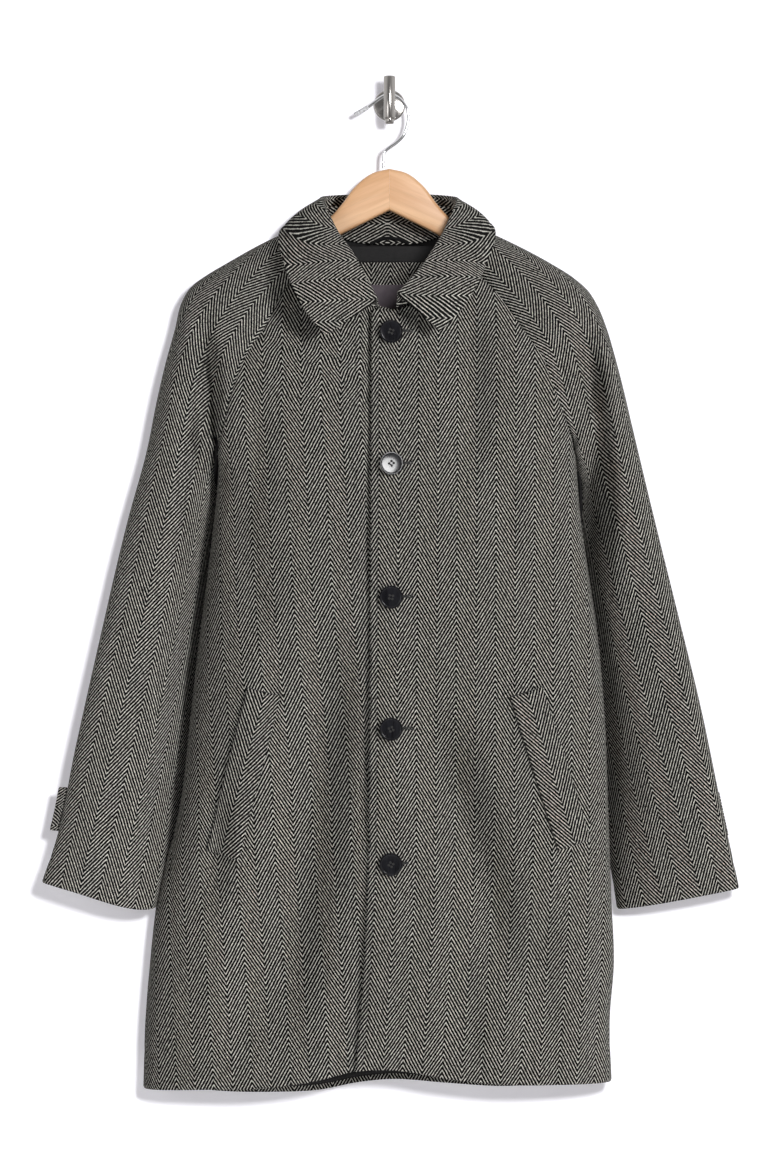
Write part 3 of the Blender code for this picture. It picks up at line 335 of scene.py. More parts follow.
class CoatSettings(bpy.types.PropertyGroup):
    """Sizes and colours of the overcoat."""

    cloth: FloatProperty(
        name="Cloth", description="Thickness of the coat cloth", default=0.0020, min=0.0005, unit="LENGTH"
    )
    trim: FloatProperty(
        name="Trim", description="Thickness of lining and facing", default=0.0012, min=0.0005, unit="LENGTH"
    )
    column: FloatProperty(
        name="Weave column", description="Width of one herringbone column", default=0.0225, unit="LENGTH"
    )
    rise: FloatProperty(
        name="Weave rise", description="Height between two weave lines", default=0.0061, unit="LENGTH"
    )
    run: FloatProperty(
        name="Weave run", description="Width between two weave lines", default=0.0037, unit="LENGTH"
    )
    light_yarn: FloatVectorProperty(
        name="Light yarn",
        description="Colour of the pale yarn",
        default=(0.88, 0.845, 0.775),
        subtype="COLOR",
    )
    dark_yarn: FloatVectorProperty(
        name="Dark yarn",
        description="Colour of the black yarn",
        default=(0.004, 0.0038, 0.0038),
        subtype="COLOR",
    )
    stitch: FloatProperty(
        name="Stitch", description="Length from one topstitch to the next", default=0.0030, unit="LENGTH"
    )
    stitch_inset: FloatProperty(
        name="Stitch inset",
        description="Distance of topstitching from an edge",
        default=0.0080,
        unit="LENGTH",
    )
    button: FloatProperty(
        name="Button", description="Diameter of the buttons", default=0.0267, min=0.01, unit="LENGTH"
    )
    wood: FloatVectorProperty(
        name="Wood", description="Colour of the hanger's wood", default=(0.92, 0.56, 0.31), subtype="COLOR"
    )


def settings():
    return bpy.context.scene.coat_settings


def smooth(station, values, at):
    """Values read along stations by a smooth curve through every row."""
    x = np.asarray(station, float)
    y = np.asarray(values, float).reshape(len(x), -1)
    at = np.clip(np.asarray(at, float), x[0], x[-1])
    step = np.diff(x)
    slope = np.diff(y, axis=0) / step[:, None]
    tangent = np.empty_like(y)
    tangent[0] = slope[0]
    tangent[-1] = slope[-1]
    before = step[:-1, None]
    after = step[1:, None]
    tangent[1:-1] = (slope[:-1] * after + slope[1:] * before) / (before + after)
    k = np.clip(np.searchsorted(x, at, side="right") - 1, 0, len(x) - 2)
    h = step[k]
    t = ((at - x[k]) / h)[:, None]
    h = h[:, None]
    return (
        y[k] * (2 * t**3 - 3 * t**2 + 1)
        + tangent[k] * h * (t**3 - 2 * t**2 + t)
        + y[k + 1] * (3 * t**2 - 2 * t**3)
        + tangent[k + 1] * h * (t**3 - t**2)
    )


def level(table, column, z):
    """A column of a table whose rows run downwards, read at heights z."""
    heights = [-row.z for row in table]
    values = [getattr(row, column) for row in table]
    return smooth(heights, values, -np.ravel(z)).reshape(np.shape(z))


def hem_level(x, column):
    values = [getattr(row, column) for row in HEM]
    return smooth([row.x for row in HEM], values, np.ravel(x)).reshape(np.shape(x))


def rounded(value, power):
    return np.sign(value) * np.abs(value) ** power


def unit(vectors):
    return vectors / np.maximum(np.linalg.norm(vectors, axis=-1, keepdims=True), 1e-12)


def ease(value):
    value = np.clip(value, 0, 1)
    return value * value * (3 - 2 * value)


def dip(distance, at, width):
    """A smooth bump of height 1 at a distance."""
    return np.exp(-(((distance - at) / width) ** 2))


def fold_field(x, z, folds):
    """How far the folds press the cloth inwards at each place of the coat as seen from the front."""
    total = np.zeros(np.shape(x))
    for fold in folds:
        start = np.array((fold.x0, fold.z0))
        end = np.array((fold.x1, fold.z1))
        run = end - start
        length = np.linalg.norm(run)
        way = run / length
        aside = np.array((-way[1], way[0]))
        dx = x - start[0]
        dz = z - start[1]
        along = (dx * way[0] + dz * way[1]) / length
        bend = fold.bend * np.sin(np.clip(along, 0, 1) * math.pi)
        across = dx * aside[0] + dz * aside[1] - bend
        fade = ease(along / FOLD_FADE + FOLD_OVER) * ease((1 - along) / FOLD_FADE + FOLD_OVER)
        total += fold.depth * fade * dip(across, 0.0, fold.width)
    return total


def stations(points):
    """Running length along a line of points, from 0 at the first."""
    return np.concatenate([[0.0], np.cumsum(np.linalg.norm(np.diff(points, axis=0), axis=1))])


def sleeve_lengths(table):
    return stations(np.array([(row.outer_x, row.outer_z) for row in table]))


def sleeve_half(table, along, around, back=False):
    """Points of half a sleeve, front or back: rows down its length, columns from outer seam to inner."""
    lengths = sleeve_lengths(table)
    rows = np.array(table)
    if back:
        sign = np.sign(table[UNDERARM].outer_x)
        share = np.clip(1 - np.arange(len(table)) / UNDERARM, 0, 1) ** BACK_SEAM_EASE
        rows[:, 3] += (sign * BACK_NECK_X - rows[0, 3]) * share
        rows[:, 5] += (BACK_NECK_SIDE_Z - rows[0, 5]) * share
        rows[:, 4] = rows[:, 6]
    read = smooth(lengths, rows, along)
    ox, oy, oz, ex, ey, ez, _, front, behind, arc = (read[:, i : i + 1] for i in range(10))
    arc = np.clip(arc, 0.5, 1.0)
    depth = behind if back else -front
    angle = np.asarray(around)[None, :] * arc * math.pi
    chord = (1 - rounded(np.cos(angle), ROUNDNESS)) / 2
    chord_end = (1 - rounded(np.cos(arc * math.pi), ROUNDNESS)) / 2
    swell = np.clip(np.sin(angle), 0, 1) ** ROUNDNESS
    swell_end = np.clip(np.sin(arc * math.pi), 0, 1) ** ROUNDNESS
    share = chord / chord_end
    x = ox + (ex - ox) * share
    z = oz + (ez - oz) * share
    y = oy + (ey - oy - depth * swell_end) * share + depth * swell
    return np.stack([x, y, z], axis=-1)


def body_border(side, back=False):
    """Side border of a body panel by height: the raglan seam, then the side seam to the hem."""
    table = SLEEVES[side]
    fine = np.linspace(0, sleeve_lengths(table)[UNDERARM], 40)
    seam = sleeve_half(table, fine, [1.0], back)[:, 0]
    below = [(getattr(row, side + "_x"), getattr(row, side + "_y"), row.z) for row in SIDE_SEAMS]
    return np.concatenate([seam, np.array(below)])


def falling(border):
    """Heights of a border, made to fall at every point."""
    return np.minimum.accumulate(border[:, 2]) - np.arange(len(border)) * 1e-7


def panel_depth(x, z, border, back=False):
    """Depth of the body's front or back at a place on it."""
    edge = smooth(-falling(border), border[:, :2], -np.ravel(z))
    edge_x = edge[:, 0].reshape(np.shape(z))
    edge_y = edge[:, 1].reshape(np.shape(z))
    middle = level(DEPTHS, "back_y" if back else "front_y", z)
    flat = np.sign(edge_x) * FLAT_FRONT
    share = np.clip((np.asarray(x) - flat) / (edge_x - flat), 0, 1)
    turned = ease((ROUND_Z - np.asarray(z)) / ROUND_REACH)
    drop = (1 - turned) * share**2 + turned * (1 - (1 - share**SUPER) ** (1 / SUPER))
    return middle + (edge_y - middle) * drop


def border_rows(side, rows, back=False):
    """Border points at the panel rows, from 0 at the neck through YOKE at the underarm to the hem."""
    table = SLEEVES[side]
    reach = sleeve_lengths(table)[UNDERARM]
    seam = sleeve_half(table, np.clip(rows / YOKE, 0, 1) * reach, [1.0], back)[:, 0]
    border = body_border(side, back)
    pit = sleeve_half(table, [reach], [1.0], back)[0, 0]
    foot = hem_level(getattr(SIDE_SEAMS[-1], side + "_x"), "front_z")
    share = np.clip((rows - YOKE) / SKIRT, 0, 1)
    lower = smooth(-falling(border), border, -(pit[2] + (foot - pit[2]) * share))
    return np.where((share > 0)[:, None], lower, seam), share


def front_grid(side, rows, across, under=False):
    """Outer points of one front, from its front edge to its raglan and side seams."""
    ends, share = border_rows(side, rows)
    border = body_border(side)
    yoke = np.clip(rows / YOKE, 0, 1)[:, None]
    share = share[:, None]
    across = np.asarray(across)[None, :]
    straight = float(hem_level(np.array(0.0), "front_z"))
    edge_z = NECK_FRONT_Z + (UNDERARM_FRONT_Z - NECK_FRONT_Z) * yoke
    edge_z = edge_z + (straight - edge_z) * share
    edge_x = level(DEPTHS, "edge_x", edge_z) + (LAP_WIDTH if under else 0.0)
    x = edge_x + (ends[:, :1] - edge_x) * across
    z = edge_z + (ends[:, 2:] - edge_z) * across
    z = z - NECK_DIP * (1 - yoke) ** 2 * np.sin(math.pi * across)
    foot = straight + (hem_level(ends[-1:, 0], "front_z")[0] - straight) * across
    z = z + (hem_level(x, "front_z") - foot) * share
    y = panel_depth(x, z, border)
    if under:
        y = y + LAP_RAISE * (1 - ease((np.abs(x) - LAP_END) / LAP_FADE))
        y = y + LAP_GAP * dip(x - level(DEPTHS, "edge_x", z), LAP_GAP_AT, LAP_GAP_WIDTH)
    grid = np.stack([x, y, z], axis=-1)
    grid[:, -1] = ends
    return grid


def back_grid(rows, step):
    """Outer points of the back, from the right border to the left."""
    right, share = border_rows("right", rows, True)
    left, _ = border_rows("left", rows, True)
    share = share[:, None]
    yoke = np.clip(rows / YOKE, 0, 1)[:, None]
    straight = float(hem_level(np.array(0.0), "back_z"))
    middle_z = BACK_NECK_Z + (UNDERARM_BACK_Z - BACK_NECK_Z) * yoke
    middle_z = middle_z + (straight - middle_z) * share
    turn = np.clip((rows - YOKE + 3) / 4, 0, 1)[:, None]
    step = np.asarray(step)[None, :]
    across = np.abs(step)
    end_x = np.where(step < 0, right[:, :1], left[:, :1])
    end_z = np.where(step < 0, right[:, 2:], left[:, 2:])
    x = end_x * across
    z = middle_z + (end_z - middle_z) * across ** (2 - turn)
    foot = straight + (hem_level(end_x, "front_z") - straight) * across ** (2 - turn)
    z = z + (hem_level(x, "back_z") - foot) * (1 - across**6) * share
    y = np.where(
        step < 0,
        panel_depth(x, z, body_border("right", True), True),
        panel_depth(x, z, body_border("left", True), True),
    )
    grid = np.stack([x, y, z], axis=-1)
    grid[:, 0] = right
    grid[:, -1] = left
    return grid


def grid_normals(grid, towards, column=None):
    """Unit normals of a grid of points, on the side of a direction in the middle row."""
    normal = unit(np.cross(np.gradient(grid, axis=0), np.gradient(grid, axis=1)))
    middle = normal[grid.shape[0] // 2, grid.shape[1] // 2 if column is None else column]
    return normal if np.dot(middle, towards) > 0 else -normal


def share_normals(first, second):
    both = unit(first + second)
    first[...] = both
    second[...] = both


def run_across(grid, start=0):
    """Length along each row of a grid, from one of its columns."""
    steps = np.cumsum(np.linalg.norm(np.diff(grid, axis=1), axis=-1), axis=1)
    length = np.concatenate([np.zeros((len(grid), 1)), steps], axis=1)
    return length - length[:, start : start + 1]


def run_down(grid):
    return run_across(grid.transpose(1, 0, 2)).T


def edge_lengths(grid):
    """Distance of every point from the first and last column, the top and the foot."""
    across = run_across(grid)
    down = run_down(grid)
    return across, across[:, -1:] - across, down, down[-1:] - down


def grain_places(points, path):
    """Distance to the right of a path and length along it, for points given as (x, z)."""
    path = np.asarray(path)
    station = stations(path)
    fine = smooth(station, path, np.linspace(0, station[-1], 160))
    run = np.diff(fine, axis=0)
    lengths = np.linalg.norm(run, axis=1)
    way = run / lengths[:, None]
    before = stations(fine)[:-1]
    flat = points.reshape(-1, 2)
    gap = flat[:, None, :] - fine[None, :-1, :]
    along = np.sum(gap * way[None], axis=-1)
    low = np.where(np.arange(len(way)) == 0, -1.0, 0.0)
    high = np.where(np.arange(len(way)) == len(way) - 1, 1.0, lengths)
    held = np.clip(along, low, high)
    rest = gap - held[..., None] * way[None]
    nearest = np.argmin(np.sum(rest**2, axis=-1), axis=1)
    pick = np.arange(len(flat))
    aside = rest[pick, nearest]
    sign = np.sign(way[nearest, 0] * aside[:, 1] - way[nearest, 1] * aside[:, 0])
    u = sign * np.linalg.norm(aside, axis=-1)
    v = before[nearest] + held[pick, nearest]
    return u.reshape(points.shape[:2]), v.reshape(points.shape[:2])


def add_object(name, data):
    made = bpy.data.objects.new(name, data)
    bpy.context.scene.collection.objects.link(made)
    return made


def make_shell(name, outer, inner, weave, materials, inner_faces=None, bulge=0.0004):
    """A cloth piece between an outer and an inner face, with a rounded rim and a weave map in metres."""
    rows, columns = outer.shape[:2]
    count = rows * columns
    index = np.arange(count).reshape(rows, columns)
    ring = np.concatenate([index[0, :], index[1:, -1], index[-1, -2::-1], index[-2:0:-1, 0]])
    outer_flat = outer.reshape(-1, 3)
    inner_flat = inner.reshape(-1, 3)
    away = np.zeros_like(outer)
    away[0] += unit(outer[0] - outer[1])
    away[-1] += unit(outer[-1] - outer[-2])
    away[:, 0] += unit(outer[:, 0] - outer[:, 1])
    away[:, -1] += unit(outer[:, -1] - outer[:, -2])
    rim = (outer_flat[ring] + inner_flat[ring]) / 2 + unit(away.reshape(-1, 3)[ring]) * bulge
    points = np.concatenate([outer_flat, inner_flat, rim])
    weave = weave.reshape(-1, 2)
    places = np.concatenate([weave, weave, weave[ring]])
    a, b = index[:-1, :-1].ravel(), index[:-1, 1:].ravel()
    c, d = index[1:, 1:].ravel(), index[1:, :-1].ravel()
    front = np.stack([a, b, c, d], axis=1)
    behind = np.stack([d, c, b, a], axis=1) + count
    mid = 2 * count + np.arange(len(ring))
    following = np.roll(ring, -1)
    mid_following = np.roll(mid, -1)
    first_rim = np.stack([following, ring, mid, mid_following], axis=1)
    second_rim = np.stack([mid_following, mid, ring + count, following + count], axis=1)
    faces = np.concatenate([front, behind, first_rim, second_rim])
    corner = outer_flat[front]
    facing = np.cross(corner[:, 1] - corner[:, 0], corner[:, 3] - corner[:, 0])
    towards = outer_flat - inner_flat
    if np.sum(facing * towards[front[:, 0]]) < 0:
        faces = faces[:, ::-1]
    mesh = bpy.data.meshes.new(name)
    mesh.from_pydata(points.tolist(), [], faces.tolist())
    layer = mesh.uv_layers.new(name="weave")
    corners = np.empty(len(mesh.loops), dtype=np.int32)
    mesh.loops.foreach_get("vertex_index", corners)
    layer.data.foreach_set("uv", places[corners].astype(np.float32).ravel())
    slots = np.zeros(len(faces), dtype=np.int32)
    if inner_faces is not None:
        slots[len(front) : 2 * len(front)] = inner_faces[:-1, :-1].ravel()
    mesh.polygons.foreach_set("material_index", slots)
    mesh.polygons.foreach_set("use_smooth", np.ones(len(faces), dtype=bool))
    for look in materials:
        mesh.materials.append(look)
    mesh.update()
    return add_object(name, mesh)


def declare(piece, slot, *nodes):
    """Say what a piece rides on and which nodes it stands for; slot, its finish, is not used."""
    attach(piece, BODY)
    if nodes:
        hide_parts(*nodes)
    return piece


def surface_area(grid):
    one = np.cross(grid[1:, 1:] - grid[:-1, :-1], grid[1:, :-1] - grid[:-1, 1:])
    return float(np.linalg.norm(one, axis=-1).sum() / 2)


def cut_size(grid):
    """Width, length and area of a piece laid flat, from the runs across and down its surface."""
    across, _, down, _ = edge_lengths(grid)
    flat = (float(across[:, -1].max()), float(down[-1].max()))
    return flat, min(surface_area(grid), flat[0] * flat[1])


def put(tree, socket, value):
    """Link a socket to another one, or set its value."""
    if isinstance(value, bpy.types.NodeSocket):
        tree.links.new(value, socket)
    else:
        socket.default_value = value


def node(tree, kind, *values, **choices):
    """A new node of a tree, its inputs filled in order; None leaves an input as it is."""
    made = tree.nodes.new(kind)
    for name, choice in choices.items():
        setattr(made, name, choice)
    for socket, value in zip(made.inputs, values):
        if value is not None:
            put(tree, socket, value)
    return made


class NodeMaker:
    """Short way to build a material's node tree."""

    def __init__(self, name):
        self.material = bpy.data.materials.new(name)
        self.material.use_nodes = True
        self.tree = self.material.node_tree
        self.shader = self.tree.nodes["Principled BSDF"]

    def math(self, operation, *values):
        return node(self.tree, "ShaderNodeMath", *values, operation=operation).outputs[0]

    def map(self, vector, turn=None, stretch=None):
        return node(self.tree, "ShaderNodeMapping", vector, None, turn, stretch).outputs[0]

    def noise(self, vector, scale, detail=2.0, rough=0.5, stretch=None):
        if stretch is not None:
            vector = self.map(vector, stretch=stretch)
        return node(self.tree, "ShaderNodeTexNoise", vector, None, scale, detail, rough).outputs["Fac"]

    def places(self):
        return node(self.tree, "ShaderNodeTexCoord").outputs["Object"]

    def weave_map(self):
        """The weave map whole, its way across the columns and its way along them."""
        whole = node(self.tree, "ShaderNodeUVMap", uv_map="weave").outputs[0]
        parts = node(self.tree, "ShaderNodeSeparateXYZ", whole).outputs
        return whole, parts[0], parts[1]

    def remap(self, value, low, high, to_low=0.0, to_high=1.0):
        return node(self.tree, "ShaderNodeMapRange", value, low, high, to_low, to_high).outputs[0]

    def mix(self, share, first, second):
        colours = [c if isinstance(c, bpy.types.NodeSocket) else (*c, 1.0) for c in (first, second)]
        unused = [None] * 5
        return node(self.tree, "ShaderNodeMix", share, *unused, *colours, data_type="RGBA").outputs[2]

    def blend(self, noise, low, high, first, second):
        """Two colours in the patches of a noise."""
        return self.mix(self.remap(noise, low, high), first, second)

    def stir(self, value, noise, amount):
        """A value moved both ways by a noise."""
        shift = self.math("MULTIPLY", self.math("SUBTRACT", noise, 0.5), amount)
        return self.math("ADD", value, shift)

    def bump(self, height, strength, distance):
        made = node(self.tree, "ShaderNodeBump")
        for name, value in (("Strength", strength), ("Distance", distance), ("Height", height)):
            put(self.tree, made.inputs[name], value)
        put(self.tree, self.shader.inputs["Normal"], made.outputs[0])

    def finish(self, **values):
        for name, value in values.items():
            put(self.tree, self.shader.inputs[name.replace("_", " ")], value)
        return self.material


def scaled(colour, factor):
    return tuple(min(part * factor, 1.0) for part in colour)


def wool_material():
    """Herringbone: slanting lines that turn back at every column, uneven as spun wool is."""
    look = settings()
    make = NodeMaker("herringbone wool cloth")
    vector, u, v = make.weave_map()
    u = make.stir(u, make.noise(vector, 55.0), 0.0012)
    v = make.stir(v, make.noise(vector, 260.0), 0.0014)
    swing = make.math("PINGPONG", make.math("DIVIDE", u, look.column), 1.0)
    rise = make.math("MULTIPLY", swing, look.column / look.run)
    phase = make.math("ADD", make.math("DIVIDE", v, look.rise), rise)
    wave = make.math("SINE", make.math("MULTIPLY", phase, 2 * math.pi))
    fuzz = make.noise(vector, 1500.0, 3.0, 0.65)
    slub = make.noise(vector, 330.0)
    share = make.remap(make.stir(make.stir(wave, fuzz, 1.8), slub, 1.3), 0.44, 1.14)
    yarn = make.noise(vector, 620.0)
    pale = make.blend(yarn, 0.3, 0.7, scaled(look.light_yarn, 0.78), scaled(look.light_yarn, 1.16))
    worn_black = tuple(c * 2.0 + 0.004 for c in look.dark_yarn)
    black = make.blend(yarn, 0.35, 0.75, look.dark_yarn, worn_black)
    cloud = make.remap(make.noise(vector, 9.0, 3.0), 0.35, 0.75, 0.0, 0.05)
    cloth = make.mix(cloud, make.mix(share, black, pale), (0.10, 0.096, 0.090))
    height = make.math("ADD", make.math("MULTIPLY", share, 0.6), make.math("MULTIPLY", fuzz, 0.5))
    make.bump(height, 0.55, 0.0006)
    return make.finish(
        Base_Color=cloth, Roughness=0.95, Sheen_Weight=0.012, Sheen_Roughness=0.5, Specular_IOR_Level=0.04
    )


def cloth_material(name, first, second, roughness, thread, shine):
    """A fine plain cloth: two near shades, crossed by threads."""
    make = NodeMaker(name)
    _, u, v = make.weave_map()
    across, along = (make.math("SINE", make.math("MULTIPLY", way, 2 * math.pi / thread)) for way in (u, v))
    cloud = make.noise(make.places(), 70.0, 3.0)
    make.bump(make.math("ADD", make.math("MULTIPLY", across, along), cloud), 0.25, 0.0003)
    return make.finish(
        Base_Color=make.blend(cloud, 0.3, 0.7, first, second),
        Roughness=make.remap(cloud, 0.3, 0.7, roughness - 0.06, roughness + 0.08),
        Specular_IOR_Level=shine,
    )


def horn_material():
    make = NodeMaker("polished dark horn")
    streak = make.noise(make.places(), 160.0, 4.0, 0.6, (1.0, 1.0, 0.22))
    make.bump(streak, 0.05, 0.0002)
    return make.finish(
        Base_Color=make.blend(streak, 0.35, 0.75, (0.005, 0.005, 0.007), (0.016, 0.016, 0.020)),
        Roughness=make.remap(streak, 0.3, 0.8, 0.13, 0.19),
        Specular_IOR_Level=0.32,
    )


def maple_material(name, slope):
    """Pale wood with its grain along one arm of the hanger."""
    wood = tuple(settings().wood)
    make = NodeMaker(name)
    vector = make.map(make.places(), turn=(0.0, slope, 0.0))
    band = make.noise(vector, 26.0, 5.0, 0.55, (0.22, 1.0, 3.0))
    pore = make.noise(vector, 420.0, 3.0, 0.6, (0.05, 1.0, 1.0))
    deep = tuple(c * f for c, f in zip(wood, (0.86, 0.76, 0.66)))
    grain = make.blend(band, 0.36, 0.66, deep, scaled(wood, 1.07))
    make.bump(pore, 0.12, 0.0002)
    return make.finish(
        Base_Color=make.mix(make.remap(pore, 0.52, 0.8, 0.0, 0.30), grain, scaled(wood, 0.62)),
        Roughness=make.remap(pore, 0.3, 0.8, 0.36, 0.50),
        Coat_Weight=0.25,
        Coat_Roughness=0.25,
    )


def metal_material(name, colour, low, high, stretch, depth):
    make = NodeMaker(name)
    brush = make.noise(make.places(), 900.0, 3.0, 0.6, stretch)
    stain = make.noise(make.places(), 60.0, 3.0)
    make.bump(brush, depth, 0.0001)
    return make.finish(
        Base_Color=make.blend(stain, 0.3, 0.7, scaled(colour, 0.9), colour),
        Roughness=make.remap(brush, 0.3, 0.7, low, high),
        Metallic=1.0,
    )


def clear_material():
    make = NodeMaker("clear plastic sleeve")
    haze = make.noise(make.places(), 300.0, 3.0)
    return make.finish(
        Base_Color=make.blend(haze, 0.3, 0.7, (0.70, 0.70, 0.72), (0.90, 0.90, 0.92)),
        Roughness=make.remap(haze, 0.3, 0.7, 0.22, 0.36),
        Transmission_Weight=0.45,
        IOR=1.46,
    )


def thread_and_shade_material():
    # Sewing thread; the same dark colour paints the shade in the button holes and the shadow line round the
    # welts.
    make = NodeMaker("grey sewing thread")
    twist = make.noise(make.places(), 2600.0)
    make.bump(twist, 0.4, 0.0002)
    return make.finish(
        Base_Color=make.blend(twist, 0.3, 0.7, (0.006, 0.006, 0.006), (0.022, 0.021, 0.021)),
        Roughness=0.75,
        Sheen_Weight=0.2,
    )


MATERIALS = {}


def material(name):
    """Materials of the coat, each made once."""
    makers = {
        "wool": wool_material,
        "lining": lambda: cloth_material(
            "black lining cloth", (0.008, 0.0076, 0.008), (0.020, 0.019, 0.020), 0.45, 0.0008, 0.18
        ),
        "label": lambda: cloth_material(
            "mauve woven label cloth", (0.105, 0.084, 0.100), (0.150, 0.124, 0.142), 0.55, 0.0007, 0.2
        ),
        "loop": lambda: cloth_material(
            "black loop cord", (0.006, 0.006, 0.0065), (0.018, 0.018, 0.019), 0.7, 0.0012, 0.1
        ),
        "horn": horn_material,
        "maple right": lambda: maple_material("pale maple right", math.radians(24)),
        "maple left": lambda: maple_material("pale maple left", math.radians(-24)),
        "chrome": lambda: metal_material(
            "bright hook wire", (0.80, 0.80, 0.82), 0.06, 0.14, (1, 1, 1), 0.02
        ),
        "nickel": lambda: metal_material(
            "brushed nickel", (0.38, 0.36, 0.345), 0.15, 0.24, (1, 1, 0.03), 0.05
        ),
        "clear": clear_material,
        "thread": thread_and_shade_material,
    }
    if name not in MATERIALS:
        MATERIALS[name] = makers[name]()
    return MATERIALS[name]


# Distances from a cloth edge at which its grid has a row, close enough for a rolled edge and a stitch line.
EDGE_STEPS = np.array((0.0, 0.5, 1.1, 1.8, 2.6, 3.6, 4.8, 6.0, 7.0, 8.0, 9.0, 10.2, 12.0, 14.5)) / 1000


def panel_rows():
    """Row numbers of a body panel, closer together at the hem."""
    yoke = np.linspace(0, YOKE, 57)
    skirt = np.linspace(YOKE, YOKE + SKIRT, 91)[1:-1]
    hem = YOKE + SKIRT - EDGE_STEPS[:8][::-1] / 0.08
    return np.concatenate([yoke, skirt[skirt < hem[0] - 0.04], hem])


def seam_shares(count):
    """Shares from 0 to 1, closer together towards 1 where a panel turns into its seam."""
    return 1 - (1 - np.linspace(0, 1, count)) ** 2.4


def front_shares():
    edge = EDGE_STEPS / 0.25
    rest = seam_shares(60)
    return np.concatenate([edge, rest[rest > edge[-1] + 0.02]])


def body_pieces():
    """Fronts, back and sleeves: folded grids, normals shared along the seams, and the grids without folds."""
    rows = panel_rows()
    shares = front_shares()
    back_share = seam_shares(58)
    back_step = np.concatenate([-back_share[:0:-1], back_share])
    grids = {
        "front_right": front_grid("right", rows, shares, under=True),
        "front_left": front_grid("left", rows, shares),
        "back": back_grid(rows, back_step),
    }
    around = ease(np.linspace(0, 1, 47)) * 0.55 + np.linspace(0, 1, 47) * 0.45
    yoke = rows[rows <= YOKE + 1e-9]
    for side, table in SLEEVES.items():
        lengths = sleeve_lengths(table)
        arm = np.linspace(lengths[UNDERARM], lengths[-1] - 0.006, 74)[1:]
        cuff = lengths[-1] - EDGE_STEPS[:7][::-1]
        along = np.concatenate([yoke / YOKE * lengths[UNDERARM], arm[arm < cuff[0] - 0.002], cuff])
        near_cuff = ease((along - lengths[-1] + CUFF_REACH) / CUFF_REACH)[:, None]
        tuck = INNER_TUCK[side]
        below = ease((along - lengths[UNDERARM]) / tuck.reach)[:, None]
        for half in ("front", "back"):
            grid = sleeve_half(table, along, around, half == "back")
            share = run_across(grid) / run_across(grid)[:, -1:]
            grid[..., 2] -= CUFF_DROP[side] * near_cuff * np.sin(math.pi * share**2.2)
            start = TUCK_START[half]
            sink = ease((share - start) / (TUCK_FULL - start)) * below
            sink = sink * (1 - TUCK_LOSS * near_cuff)
            grid[..., 0] += tuck.aside * sink
            grid[..., 1] += np.clip(WALL_ROOM - grid[:, -1:, 1], 0, tuck.depth) * sink
            grids["sleeve_%s_%s" % (half, side)] = grid
    flat = {name: grid.copy() for name, grid in grids.items()}
    for name, grid in grids.items():
        x, z = grid[..., 0], grid[..., 2]
        if name.startswith("front"):
            grid[..., 1] += fold_field(x, z, FRONT_FOLDS) * fade_at_seam(grid)
        elif name == "back":
            grid[..., 1] -= fold_field(x, z, BACK_FOLDS) * fade_at_seam(grid, True)
        else:
            folds = SLEEVE_FOLDS[name.rsplit("_", 1)[1]]
            press = fold_field(x, z, folds) * fade_at_seam(grid, True, SLEEVE_FADE)
            grid[..., 1] += press * (BACK_SHARE if "back" in name else 1.0)
    normals = {
        name: grid_normals(grid, (0, 1, 0) if "back" in name else (0, -1, 0))
        for name, grid in grids.items()
    }
    pit = len(yoke) - 1
    for side, back_column in (("right", 0), ("left", -1)):
        ahead = normals["sleeve_front_" + side]
        behind = normals["sleeve_back_" + side]
        front = normals["front_" + side]
        back = normals["back"]
        share_normals(ahead[:, 0], behind[:, 0])
        share_normals(ahead[pit + 1 :, -1], behind[pit + 1 :, -1])
        share_normals(ahead[:pit, -1], front[:pit, -1])
        share_normals(behind[:pit, -1], back[:pit, back_column])
        share_normals(front[pit + 1 :, -1], back[pit + 1 :, back_column])
        meeting = ((ahead, -1), (behind, -1), (front, -1), (back, back_column))
        middle = unit(sum(field[pit, column] for field, column in meeting) + PIT_DOWN)
        for field, column in meeting:
            field[pit, column] = middle
    return grids, normals, flat


def fade_at_seam(grid, both=False, reach=PANEL_FADE):
    """0 at a panel's last seam, or at both of its seams, and 1 beyond a reach."""
    first, last, _, _ = edge_lengths(grid)
    fade = ease(last / reach)
    return fade * ease(first / reach) if both else fade


def draw_back(grid, first, last):
    """Draw the seam borders of a grid back by a seat, within its own surface."""
    for edge, inner, distance in ((0, 1, first), (-1, -2, last)):
        grid[:, edge] += unit(grid[:, inner] - grid[:, edge]) * distance


# Lines pressed into the cloth: depth, and half width of the line.
Line = namedtuple("Line", "depth width")
SEAM_LINE = Line(0.0011, 0.0022)
EDGE_TURN = Line(0.0008, 0.0012)
FRONT_STITCH_LINE = Line(0.0006, 0.0013)
COLLAR_STITCH_LINE = Line(0.0007, 0.0013)
SIDE_LINE = Line(0.0014, 0.0022)
SIDE_LINE_X = -0.254
CUFF_LINE, CUFF_LINE_UP = Line(0.0005, 0.004), 0.030
HEM_LINE, HEM_LINE_UP = Line(0.0004, 0.006), 0.042
# The lining starts this far above the edges, and this far in from the front edges.
LINING_UP = {"back": 0.012, "other": 0.040}
FACING_WIDTH = 0.085
# Sideways place of the weave on the fronts.
FRONT_SHIFT = {"left": 0.0091, "right": 0.0375}


def pressed(line, distance, at=0.0):
    """Depth of a pressed line at each distance from it."""
    return line.depth * dip(distance, at, line.width)


